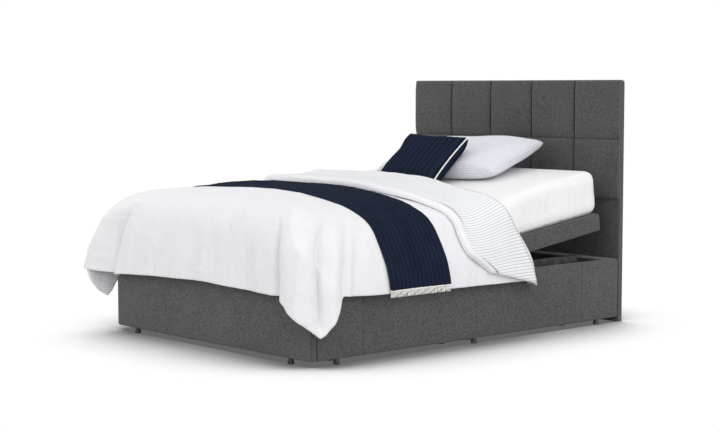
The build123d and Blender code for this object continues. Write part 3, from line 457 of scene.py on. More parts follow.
class Tree:
    """A small helper that adds and links the nodes of one tree."""

    def __init__(self, tree: bpy.types.NodeTree) -> None:
        """Keep the tree."""
        self.tree = tree

    def add(self, kind: str, **settings: object) -> bpy.types.Node:
        """Add a node and set its properties."""
        node = self.tree.nodes.new(kind)
        for name, value in settings.items():
            setattr(node, name, value)
        return node

    def link(self, source: Socket, target: Socket) -> None:
        """Link two sockets."""
        self.tree.links.new(source, target)

    def feed(self, target: Socket, value: object) -> None:
        """Link a socket into a target, or set the target's value."""
        if isinstance(value, Socket):
            self.link(value, target)
        else:
            target.default_value = value

    def maths(self, operation: str, *values: object) -> Socket:
        """Add a Math node.

        Args:
            operation: the node's operation.
            values: numbers or sockets, in order.

        Returns:
            The node's output.
        """
        node = self.add("ShaderNodeMath", operation=operation)
        for target, value in zip(node.inputs, values):
            self.feed(target, value)
        return node.outputs[0]

    def noise(
        self, vector: object, scale: object, detail: float = 2, rough: float = 0.5
    ) -> Socket:
        """Add a Noise texture and return its value."""
        node = self.add("ShaderNodeTexNoise")
        self.feed(node.inputs["Vector"], vector)
        self.feed(node.inputs["Scale"], scale)
        node.inputs["Detail"].default_value = detail
        node.inputs["Roughness"].default_value = rough
        return node.outputs["Fac"]

    def spread(self, value: object, low: float, high: float) -> Socket:
        """Stretch a value so that low becomes 0 and high becomes 1."""
        node = self.add("ShaderNodeMapRange")
        node.inputs["From Min"].default_value = low
        node.inputs["From Max"].default_value = high
        self.feed(node.inputs["Value"], value)
        return node.outputs["Result"]

    def blend(self, share: object, first: object, second: object) -> Socket:
        """Mix two colours."""
        node = self.add("ShaderNodeMix", data_type="RGBA")
        self.feed(node.inputs[0], share)
        self.feed(node.inputs[6], first)
        self.feed(node.inputs[7], second)
        return node.outputs[2]

    def between(self, share: object, first: object, second: object) -> Socket:
        """Mix two values."""
        node = self.add("ShaderNodeMix", data_type="FLOAT")
        self.feed(node.inputs[0], share)
        self.feed(node.inputs[2], first)
        self.feed(node.inputs[3], second)
        return node.outputs[0]

    def parts(self, vector: Socket) -> Sequence[Socket]:
        """The three numbers of a vector."""
        node = self.add("ShaderNodeSeparateXYZ")
        self.link(vector, node.inputs[0])
        return node.outputs

    def stretched(self, vector: object, scale: Sequence[float]) -> Socket:
        """Scale a vector by three numbers."""
        node = self.add("ShaderNodeVectorMath", operation="MULTIPLY")
        self.feed(node.inputs[0], vector)
        node.inputs[1].default_value = tuple(scale)
        return node.outputs["Vector"]


class Effects:
    """The shader node groups that several finishes share, each built once."""

    def __init__(self) -> None:
        """Build every group."""
        self.weave = self._weave()
        self.mottle = self._mottle()
        self.crease = self._crease()
        self.stripes = self._stripes()
        self.wear = self._wear()

    @staticmethod
    def _group(
        name: str, inputs: dict[str, object], outputs: dict[str, object]
    ) -> tuple[Tree, bpy.types.NodeOutputs, bpy.types.NodeInputs]:
        """Start a group with named sockets: None is a vector, three or four numbers a colour.

        Args:
            name: the group's name.
            inputs: name and default of each input.
            outputs: name and a sample value of each output.

        Returns:
            The group's tree, what it is given and where its results go.
        """
        kinds = {type(None): "Vector", tuple: "Color", float: "Float"}
        group = bpy.data.node_groups.new(name, "ShaderNodeTree")
        for in_out, sockets in (("INPUT", inputs), ("OUTPUT", outputs)):
            for label, value in sockets.items():
                kind = f"NodeSocket{kinds[type(value)]}"
                socket = group.interface.new_socket(label, in_out=in_out, socket_type=kind)
                if value is not None and in_out == "INPUT":
                    socket.default_value = value
        tree = Tree(group)
        return tree, tree.add("NodeGroupInput").outputs, tree.add("NodeGroupOutput").inputs

    def _weave(self) -> bpy.types.NodeTree:
        """Threads over and under each other, in any plane."""
        tree, given, out = self._group(
            "Weave", {"Vector": None, "Pitch": 0.002, "Slub": 0.4}, {"Height": 0.0, "Shade": 0.0}
        )
        turn = tree.maths("DIVIDE", math.tau, given["Pitch"])
        waves = [
            tree.maths("SINE", tree.maths("MULTIPLY", part, turn))
            for part in tree.parts(given["Vector"])
        ]
        pairs = [tree.maths("MULTIPLY", waves[a], waves[b]) for a, b in ((0, 1), (1, 2), (0, 2))]
        crossed = tree.maths("ADD", tree.maths("ADD", pairs[0], pairs[1]), pairs[2])
        slub = tree.noise(given["Vector"], tree.maths("DIVIDE", 0.3, given["Pitch"]))
        slub = tree.maths("MULTIPLY", tree.maths("SUBTRACT", slub, 0.5), given["Slub"])
        height = tree.maths("ADD", tree.maths("MULTIPLY", crossed, 0.25), slub)
        tree.link(height, out["Height"])
        # Shade is painted shade: darker where the threads lie low, read from the same height as the
        # bump.
        tree.link(tree.spread(height, -0.5, 0.5), out["Shade"])
        return tree.tree

    def _mottle(self) -> bpy.types.NodeTree:
        """Two colours in fine flecks over broad soft patches."""
        grey = (0.5, 0.5, 0.5, 1)
        tree, given, out = self._group(
            "Mottle",
            {
                "Vector": None, "Light": grey, "Dark": (0.4, 0.4, 0.4, 1),
                "Fleck Scale": 250.0, "Patch Scale": 6.0, "Patch Share": 0.3,
            },
            {"Color": grey, "Mask": 0.0},
        )
        fleck, patch = (
            tree.spread(tree.noise(given["Vector"], given[scale], 3, rough), 0.3, 0.7)
            for scale, rough in (("Fleck Scale", 0.6), ("Patch Scale", 0.5))
        )
        share = tree.between(given["Patch Share"], fleck, patch)
        tree.link(share, out["Mask"])
        tree.link(tree.blend(share, given["Dark"], given["Light"]), out["Color"])
        return tree.tree

    def _crease(self) -> bpy.types.NodeTree:
        """Soft creases, as in washed cotton."""
        tree, given, out = self._group("Crease", {"Vector": None, "Scale": 12.0}, {"Height": 0.0})
        bent = tree.add("ShaderNodeTexNoise")
        for label in ("Vector", "Scale"):
            tree.link(given[label], bent.inputs[label])
        bent.inputs["Detail"].default_value = 2
        bent.inputs["Distortion"].default_value = 1.2
        ridge = tree.maths("ABSOLUTE", tree.maths("SUBTRACT", bent.outputs["Fac"], 0.5))
        fine = tree.noise(given["Vector"], tree.maths("MULTIPLY", given["Scale"], 5), 3)
        ridge, fine = tree.maths("MULTIPLY", ridge, 2.4), tree.maths("MULTIPLY", fine, 0.25)
        tree.link(tree.maths("ADD", ridge, fine), out["Height"])
        return tree.tree

    def _stripes(self) -> bpy.types.NodeTree:
        """Soft-edged stripes along one direction of the cloth."""
        tree, given, out = self._group(
            "Stripes", {"Coordinate": 0.0, "Pitch": 0.014, "Width Share": 0.3}, {"Mask": 0.0}
        )
        phase = tree.maths("DIVIDE", given["Coordinate"], given["Pitch"])
        away = tree.maths("ABSOLUTE", tree.maths("SUBTRACT", tree.maths("FRACT", phase), 0.5))
        edge = tree.maths("MULTIPLY", given["Width Share"], 0.5)
        node = tree.add("ShaderNodeMapRange", interpolation_type="SMOOTHSTEP")
        tree.link(away, node.inputs["Value"])
        tree.link(tree.maths("MULTIPLY", edge, 1.5), node.inputs["From Min"])
        tree.link(tree.maths("MULTIPLY", edge, 0.5), node.inputs["From Max"])
        tree.link(node.outputs["Result"], out["Mask"])
        return tree.tree

    def _wear(self) -> bpy.types.NodeTree:
        """A mask of light scuffs and dust on hard pieces."""
        tree, given, out = self._group(
            "Wear", {"Vector": None, "Scale": 20.0, "Amount": 0.4}, {"Mask": 0.0, "Height": 0.0}
        )
        broad = tree.noise(given["Vector"], given["Scale"], 4, 0.6)
        fine = tree.noise(given["Vector"], tree.maths("MULTIPLY", given["Scale"], 22), 2, 0.5)
        mask = tree.maths("MULTIPLY", tree.spread(broad, 0.45, 0.75), given["Amount"])
        tree.link(tree.maths("MULTIPLY", mask, fine), out["Mask"])
        tree.link(fine, out["Height"])
        return tree.tree


class Dresser:
    """Starts a material and places the shared effects in it."""

    def __init__(self, effects: Effects, name: str) -> None:
        """Start a material with a Principled shader."""
        self.effects = effects
        self.material = bpy.data.materials.new(name)
        self.material.use_nodes = True
        self.tree = Tree(self.material.node_tree)
        self.shader = self.material.node_tree.nodes["Principled BSDF"]

    def cloth_place(self) -> Socket:
        """The place on the flat cloth, in metres."""
        return self.tree.add("ShaderNodeUVMap", uv_map=CLOTH_MAP).outputs["UV"]

    def object_place(self) -> Socket:
        """The place in the piece's own axes, in metres."""
        return self.tree.add("ShaderNodeTexCoord").outputs["Object"]

    def effect(self, group: bpy.types.NodeTree, **values: object) -> bpy.types.Node:
        """Place a shared effect and feed its inputs, with _ for a space in a name."""
        node = self.tree.add("ShaderNodeGroup", node_tree=group)
        for name, value in values.items():
            self.tree.feed(node.inputs[name.replace("_", " ")], value)
        return node

    def mottled(
        self, place: object, colour: Colour, factors: Pair, scales: Pair, patch_share: float
    ) -> bpy.types.Node:
        """Fleck a colour.

        Args:
            place: the place on the cloth or piece.
            colour: the finish's colour.
            factors: how much brighter and darker its flecks are.
            scales: of the fine flecks and the broad patches.
            patch_share: the share of the patches.

        Returns:
            The effect's node.
        """
        light, dark = (rgba(colour, factor) for factor in factors)
        return self.effect(
            self.effects.mottle, Vector=place, Light=light, Dark=dark,
            Fleck_Scale=scales[0], Patch_Scale=scales[1], Patch_Share=patch_share,
        )

    def bump(self, height: object, distance: float, below: object = None) -> Socket:
        """Raise a height map on the shader's normal.

        Args:
            height: the height map.
            distance: how deep its full range is, in metres.
            below: the normal it is laid over, if there is one.

        Returns:
            The new normal.
        """
        node = self.tree.add("ShaderNodeBump")
        node.inputs["Distance"].default_value = distance
        self.tree.feed(node.inputs["Height"], height)
        if below is not None:
            self.tree.link(below, node.inputs["Normal"])
        self.tree.link(node.outputs["Normal"], self.shader.inputs["Normal"])
        return node.outputs["Normal"]

    def set(self, **values: object) -> None:
        """Set or feed the shader's inputs, with _ for a space in a name."""
        for name, value in values.items():
            self.tree.feed(self.shader.inputs[name.replace("_", " ")], value)


@dataclass(frozen=True)
class Upholstery:
    """Woven furnishing cloth stretched over boards and padding."""

    name: str = "charcoal_weave"
    colour: Colour = (0.091, 0.091, 0.093)
    contrast: float = 0.8
    thread: float = 0.0032
    fleck_scale: float = 150

    def build(self, effects: Effects) -> bpy.types.Material:
        """Build the cloth's material."""
        dresser = Dresser(effects, self.name)
        place = dresser.object_place()
        factors = (1 + self.contrast, 1 - self.contrast)
        mottle = dresser.mottled(place, self.colour, factors, (self.fleck_scale, 4.0), 0.16)
        weave = dresser.effect(effects.weave, Vector=place, Pitch=self.thread, Slub=0.9)
        # Painted shade: the weave's low threads pull the colour towards a darker copy of it.
        shaded = dresser.tree.blend(
            dresser.tree.maths("MULTIPLY", weave.outputs["Shade"], 0.35),
            rgba(self.colour, 0.4),
            mottle.outputs["Color"],
        )
        mixed = dresser.tree.blend(0.65, shaded, mottle.outputs["Color"])
        dresser.bump(weave.outputs["Height"], 0.0007)
        dresser.set(Base_Color=mixed, Roughness=0.92, Specular_IOR_Level=0.25)
        dresser.set(Sheen_Weight=0.25, Sheen_Roughness=0.5)
        return dresser.material


@dataclass(frozen=True)
class Cotton:
    """Soft bed linen, plain or with fine stripes."""

    name: str
    colour: Colour = (0.83, 0.83, 0.85)
    stripe_colour: Colour | None = None
    stripe_pitch: float = 0.0118
    stripe_share: float = 0.22
    stripe_axis: Axis = Axis.ACROSS
    plain_border: float = 0.0
    crease_depth: float = 0.004
    crease_scale: float = 7
    thread: float = 0.0016

    def build(self, effects: Effects) -> bpy.types.Material:
        """Build the linen's material."""
        dresser = Dresser(effects, self.name)
        tree = dresser.tree
        place = dresser.cloth_place()
        mottle = dresser.mottled(place, self.colour, (1.03, 0.965), (320.0, 9.0), 0.5)
        colour = mottle.outputs["Color"]
        if self.stripe_colour:
            parts = tree.parts(place)
            stripes = dresser.effect(
                effects.stripes,
                Coordinate=parts[self.stripe_axis.value],
                Pitch=self.stripe_pitch,
                Width_Share=self.stripe_share,
            )
            broken = tree.spread(tree.noise(place, 420, 2), 0.15, 0.5)
            mask = tree.maths("MULTIPLY", stripes.outputs["Mask"], broken)
            if self.plain_border:
                border = self.plain_border
                inside = tree.spread(parts[Axis.ALONG.value], border - 0.002, border)
                mask = tree.maths("MULTIPLY", mask, inside)
            colour = tree.blend(mask, colour, rgba(self.stripe_colour))
        crease = dresser.effect(effects.crease, Vector=place, Scale=self.crease_scale)
        weave = dresser.effect(effects.weave, Vector=place, Pitch=self.thread, Slub=0.5)
        under = dresser.bump(crease.outputs["Height"], self.crease_depth)
        dresser.bump(weave.outputs["Height"], 0.0004, under)
        dresser.set(Base_Color=colour, Roughness=0.88, Specular_IOR_Level=0.2)
        dresser.set(Sheen_Weight=0.12, Sheen_Roughness=0.6)
        return dresser.material


@dataclass(frozen=True)
class QuiltedNavy:
    """Deep navy cloth with sewn ribs and a crinkled face."""

    name: str = "navy_ribbed"
    colour: Colour = (0.0135, 0.0185, 0.037)
    rib_pitch: float = 0.0254
    rib_axis: Axis = Axis.ALONG

    def build(self, effects: Effects) -> bpy.types.Material:
        """Build the ribbed cloth's material."""
        dresser = Dresser(effects, self.name)
        tree = dresser.tree
        place = dresser.cloth_place()
        coordinate = tree.parts(place)[self.rib_axis.value]
        wander = tree.maths("MULTIPLY", tree.maths("SUBTRACT", tree.noise(place, 16, 2), 0.5), 0.010)
        across = tree.maths("ADD", coordinate, wander)
        seams = dresser.effect(
            effects.stripes, Coordinate=across, Pitch=self.rib_pitch, Width_Share=0.22
        )
        mottle = dresser.mottled(place, self.colour, (1.35, 0.75), (300.0, 14.0), 0.4)
        # Painted shade: the colour darkens along the sewn seams, as shade in their grooves, which the
        # bump below also sinks.
        shade = tree.maths("MULTIPLY", seams.outputs["Mask"], 0.55)
        colour = tree.blend(shade, mottle.outputs["Color"], rgba(self.colour, 0.25))
        squeeze = (1.0, 0.3, 1.0) if self.rib_axis is Axis.ACROSS else (0.3, 1.0, 1.0)
        squeezed = tree.stretched(place, squeeze)
        crinkle = tree.noise(squeezed, 120, 3, 0.6)
        height = tree.maths("SUBTRACT", crinkle, tree.maths("MULTIPLY", seams.outputs["Mask"], 0.8))
        weave = dresser.effect(effects.weave, Vector=place, Pitch=0.0022, Slub=0.7)
        under = dresser.bump(height, 0.0012)
        dresser.bump(weave.outputs["Height"], 0.0005, under)
        dresser.set(Base_Color=colour, Roughness=0.95, Specular_IOR_Level=0.03)
        return dresser.material


@dataclass(frozen=True)
class Hard:
    """Metal, wood, rubber or moulded plastic."""

    name: str
    colour: Colour
    metallic: float = 0.0
    roughness: float = 0.5
    grain: Sequence[float] = (1, 1, 1)
    grain_scale: float = 60
    grain_depth: float = 0.0002
    wear: float = 0.3
    dust: Colour = (0.42, 0.42, 0.43)
    coat: float = 0.0

    def build(self, effects: Effects) -> bpy.types.Material:
        """Build the hard finish's material."""
        dresser = Dresser(effects, self.name)
        tree = dresser.tree
        place = dresser.object_place()
        run = tree.stretched(place, self.grain)
        scales = (self.grain_scale * 6, self.grain_scale)
        mottle = dresser.mottled(run, self.colour, (1.15, 0.82), scales, 0.6)
        wear = dresser.effect(effects.wear, Vector=place, Scale=18.0, Amount=self.wear)
        colour = tree.blend(wear.outputs["Mask"], mottle.outputs["Color"], rgba(self.dust))
        rough = tree.maths("ADD", self.roughness, tree.maths("MULTIPLY", wear.outputs["Mask"], 0.4))
        dresser.bump(mottle.outputs["Mask"], self.grain_depth)
        dresser.set(Base_Color=colour, Roughness=rough, Metallic=self.metallic)
        if self.coat:
            dresser.set(Coat_Weight=self.coat)
        return dresser.material


Finish = Upholstery | Cotton | QuiltedNavy | Hard


@dataclass
class Finishes:
    """Every finish of the bed, built once and kept by name."""

    effects: Effects
    made: dict[str, bpy.types.Material] = field(default_factory=dict)

    def get(self, finish: Finish) -> bpy.types.Material:
        """Build a finish the first time, and find it again after that."""
        if finish.name not in self.made:
            self.made[finish.name] = finish.build(self.effects)
        return self.made[finish.name]

    def dress(
        self, piece: Piece, finish: Finish
    ) -> None:
        """Give a piece one finish all over."""
        piece.data.materials.clear()
        piece.data.materials.append(self.get(finish))


CHARCOAL = Upholstery()
WHITE_COTTON = Cotton("white_cotton")
SHEET_COTTON = Cotton("sheet_cotton", colour=(0.90, 0.90, 0.905), crease_depth=0.003)
DUVET_REVERSE = Cotton(
    "striped_cotton", colour=(0.87, 0.873, 0.885), stripe_colour=(0.47, 0.51, 0.58), crease_depth=0.003
)
TURNED_COTTON = replace(DUVET_REVERSE, name="turned_cotton", plain_border=0.026)
PILLOW_COTTON = Cotton(
    "pillow_stripe",
    colour=(0.80, 0.81, 0.84),
    stripe_colour=(0.45, 0.48, 0.56),
    stripe_pitch=0.0095,
    stripe_share=0.25,
    stripe_axis=Axis.ALONG,
    crease_depth=0.004,
)
MATTRESS_KNIT = Cotton("mattress_knit", colour=(0.78, 0.78, 0.77), thread=0.004)
CREAM_CORD = Cotton("cream_cord", colour=(0.86, 0.85, 0.81), crease_depth=0.0005, thread=0.003)
RUNNER_NAVY = QuiltedNavy()
CUSHION_NAVY = QuiltedNavy("navy_channels", rib_pitch=0.0418, rib_axis=Axis.ACROSS)
TIMBER = Hard("sawn_timber", (0.52, 0.37, 0.22), roughness=0.75, grain=(1, 0.08, 1), grain_depth=0.0005)
PLASTIC = Hard("black_moulding", (0.022, 0.022, 0.024), roughness=0.55, grain_scale=140)
RUBBER = Hard("black_rubber", (0.016, 0.016, 0.016), roughness=0.85, grain_scale=90)
ZINC = Hard("zinc_plate", (0.50, 0.51, 0.52), metallic=1, roughness=0.38, grain_scale=110)
POWDER_COAT = Hard("black_powder_coat", (0.022, 0.022, 0.024), roughness=0.5, grain_scale=220, coat=0.1)
MOTOR_SHELL = Hard("motor_moulding", (0.10, 0.10, 0.11), roughness=0.5, grain_scale=160)
POLISHED_ROD = Hard("plated_rod", (0.66, 0.67, 0.69), metallic=1, roughness=0.16, wear=0.1)


class Profile:
    """A smooth line from the middle of the bed over its edge to below the hem."""

    def __init__(self, points: Sequence[Pair]) -> None:
        """Keep the points, each a distance outside the base and a height."""
        self.points = np.array(points, float)
        self.steps = np.linspace(0, len(points) - 1, 80 * len(points))
        line = curve_through(self.points, self.steps)
        gaps = np.linalg.norm(np.diff(line, axis=0), axis=1)
        self.lengths = np.concatenate([[0], np.cumsum(gaps)])

    def at(self, step: np.ndarray) -> np.ndarray:
        """The line's places at steps along its points."""
        return curve_through(self.points, step)

    def step_of(self, length: np.ndarray) -> np.ndarray:
        """The step at a length from the middle of the bed."""
        return np.interp(length, self.lengths, self.steps)

    def length_of(self, step: np.ndarray) -> np.ndarray:
        """The length from the middle of the bed at a step."""
        return np.interp(step, self.steps, self.lengths)

    def step_at_height(self, height: float) -> float:
        """The lowest step at which the line has come down to a height."""
        heights = self.at(self.steps)[:, 1]
        below = np.nonzero(heights <= height)[0]
        return float(self.steps[below[0]])

    def normal(self, step: np.ndarray) -> np.ndarray:
        """The unit direction away from the bed at a step."""
        return beside(self.at(np.asarray(step) + 0.02) - self.at(np.asarray(step) - 0.02))


@dataclass
class DressForm:
    """The smooth form of the dressed bed, which duvet, runner and turned-back end share.

    The near side droops from the middle of the top, the far side and the head end lie flatter,
    and all its lines pass the same step at about the same height.
    """

    plan: Plan
    edge_step: float = 6
    corner_radius: float = 0.05
    dome_radius: float = 0.11
    crown: float = 0.690
    drop: tuple[Pair, ...] = ((0.044, 0.240), (0.046, 0.180), (0.049, 0.120))
    near_flattens: Pair = (0.95, 1.18)
    far_flattens: Pair = (0.42, 0.64)
    released: Pair = (1.16, 1.32)
    far_end: float = 1.262
    near_end: tuple[Pair, ...] = (
        (0.00, 1.262), (0.15, 1.252), (0.35, 1.210), (0.50, 1.184), (0.62, 1.188), (0.70, 1.212),
        (0.78, 1.250), (0.86, 1.300), (0.93, 1.334), (1.05, 1.338),
    )
    near: Profile = field(init=False)
    far: Profile = field(init=False)
    foot: Profile = field(init=False)
    near_head: Profile = field(init=False)
    far_head: Profile = field(init=False)

    def __post_init__(self) -> None:
        """Lay the lines out."""
        self.near = self.laid([
            (-0.540, 0.681), (-0.400, 0.663), (-0.265, 0.640), (-0.170, 0.611), (-0.108, 0.583),
            (-0.064, 0.545), (-0.033, 0.499), (-0.006, 0.452), (0.017, 0.405), (0.033, 0.354),
            (0.042, 0.300),
        ])
        self.far = self.laid([
            (-0.540, 0.689), (-0.400, 0.684), (-0.265, 0.679), (-0.150, 0.673), (-0.075, 0.666),
            (-0.030, 0.640), (-0.006, 0.583), (0.006, 0.515), (0.018, 0.440), (0.030, 0.370),
            (0.040, 0.304),
        ])
        self.foot = self.laid([
            (-0.540, 0.690), (-0.400, 0.687), (-0.265, 0.680), (-0.165, 0.667), (-0.088, 0.645),
            (-0.034, 0.608), (-0.004, 0.558), (0.012, 0.500), (0.023, 0.434), (0.032, 0.368),
            (0.039, 0.304),
        ])
        self.near_head = self.laid([
            (-0.540, 0.684), (-0.400, 0.670), (-0.265, 0.654), (-0.160, 0.640), (-0.080, 0.622),
            (-0.028, 0.594), (-0.006, 0.550), (0.006, 0.490), (0.018, 0.430), (0.031, 0.366),
            (0.040, 0.304),
        ])
        self.far_head = self.laid([
            (-0.540, 0.691), (-0.400, 0.690), (-0.265, 0.688), (-0.160, 0.685), (-0.080, 0.680),
            (-0.028, 0.654), (-0.006, 0.590), (0.004, 0.515), (0.018, 0.436), (0.031, 0.368),
            (0.040, 0.304),
        ])

    def laid(self, points: Sequence[Pair]) -> Profile:
        """A line through points, from the crown in the middle to the drop they all share."""
        return Profile([(-self.plan.half_width, self.crown), *points, *self.drop])

    def head_edge(self, across: np.ndarray) -> np.ndarray:
        """The station of the turned-back head edge at signed lengths from the middle."""
        return np.where(np.asarray(across) > 0, curve_over(self.near_end, across), self.far_end)

    def height_over(self, across: np.ndarray, stations: np.ndarray) -> np.ndarray:
        """The height of the top over places across the bed and stations."""
        out = np.abs(across) - self.plan.half_width
        near_flat = smooth(*self.near_flattens, stations)
        far_flat = smooth(*self.far_flattens, stations)
        heights = [
            np.interp(out, line.points[:, 0], line.points[:, 1])
            for line in (self.near, self.near_head, self.far, self.far_head)
        ]
        near = heights[0] * (1 - near_flat) + heights[1] * near_flat
        far = heights[2] * (1 - far_flat) + heights[3] * far_flat
        return np.where(across >= 0, near, far)

    def line(self, across: np.ndarray, stations: np.ndarray, step: np.ndarray) -> np.ndarray:
        """The cross-section at stations: distances outside the base, and heights.

        Args:
            across: signed; only its sign counts, and picks the side.
            stations: where the cross-section is taken.
            step: the steps along it.

        Returns:
            The places.
        """
        flat = smooth(*self.near_flattens, stations)[..., None]
        near = self.near.at(step) * (1 - flat) + self.near_head.at(step) * flat
        flat = smooth(*self.far_flattens, stations)[..., None]
        far = self.far.at(step) * (1 - flat) + self.far_head.at(step) * flat
        return np.where(np.asarray(across)[..., None] >= 0, near, far)

    def arch(self, across: np.ndarray, stations: np.ndarray, proud: np.ndarray) -> np.ndarray:
        """Places over the straight part of the bed.

        Args:
            across: signed lengths along the line from the middle of the bed.
            stations: their stations.
            proud: how far they stand off the form.

        Returns:
            Flat places in x, station and height.
        """
        across, stations = np.broadcast_arrays(across, stations)
        step = self.near.step_of(np.abs(across))
        line = self.line(across, stations, step)
        ahead = self.line(across, stations, step + 0.02) - self.line(across, stations, step - 0.02)
        out = line + beside(ahead) * np.asarray(proud)[..., None]
        x = np.sign(across) * (self.plan.half_width + out[..., 0])
        return np.stack([x, stations, out[..., 1]], axis=-1)

    def length_to(self, height: float) -> float:
        """The length along the near side's line from the middle down to a height."""
        return float(self.near.length_of(self.near.step_at_height(height)))

    def inside(self, places: np.ndarray, margin: float) -> np.ndarray:
        """Round flat places off so that they stay a margin inside the form.

        Args:
            places: flat places in x, station and height.
            margin: how far inside.

        Returns:
            The changed places.
        """
        kept = places.copy()
        steps = np.linspace(0, len(self.near.points) - 1, 400)
        level, width, core = self.plan.deck_top, self.plan.half_width, 0.32
        near_flat = smooth(*self.near_flattens, places[..., 1])
        far_flat = smooth(*self.far_flattens, places[..., 1])
        ends = 1 - smooth(*self.released, places[..., 1])
        is_near = places[..., 0] >= 0
        for profile, share, extra in (
            (self.near, (1 - near_flat) * is_near, 0), (self.far, (1 - far_flat) * ~is_near, 0),
            (self.near_head, near_flat * ends * is_near, 0.014),
            (self.far_head, far_flat * ends * ~is_near, 0), (self.foot, ends, 0),
        ):
            limit = profile.at(steps) - profile.normal(steps) * (margin + extra)
            out = -kept[..., 1] if profile is self.foot else np.abs(kept[..., 0]) - width
            centre = np.minimum(out, -core)
            run, rise = out - centre, kept[..., 2] - level
            turns = np.arctan2(limit[:, 1] - level, np.maximum(limit[:, 0] + core, 0))
            reach = np.hypot(limit[:, 0] + core, limit[:, 1] - level)
            order = np.argsort(turns)
            radial = np.interp(np.arctan2(rise, run), turns[order], reach[order])
            bound = np.where(run > 1e-6, radial, np.interp(out, limit[:, 0], limit[:, 1]) - level)
            scale = np.minimum(1, bound / np.maximum(np.hypot(run, rise), 1e-6))
            scale = 1 - (1 - scale) * share
            kept[..., 2] = level + rise * scale
            moved = centre + run * scale
            if profile is self.foot:
                kept[..., 1] = -moved
            else:
                outer = np.sign(places[..., 0]) * (moved + width)
                kept[..., 0] = np.where(share > 0, outer, kept[..., 0])
        return kept


class Side(Enum):
    """The parts of the outline that the duvet hangs from, in order."""

    NEAR = 0
    NEAR_CORNER = 1
    FOOT = 2
    FAR_CORNER = 3
    FAR = 4


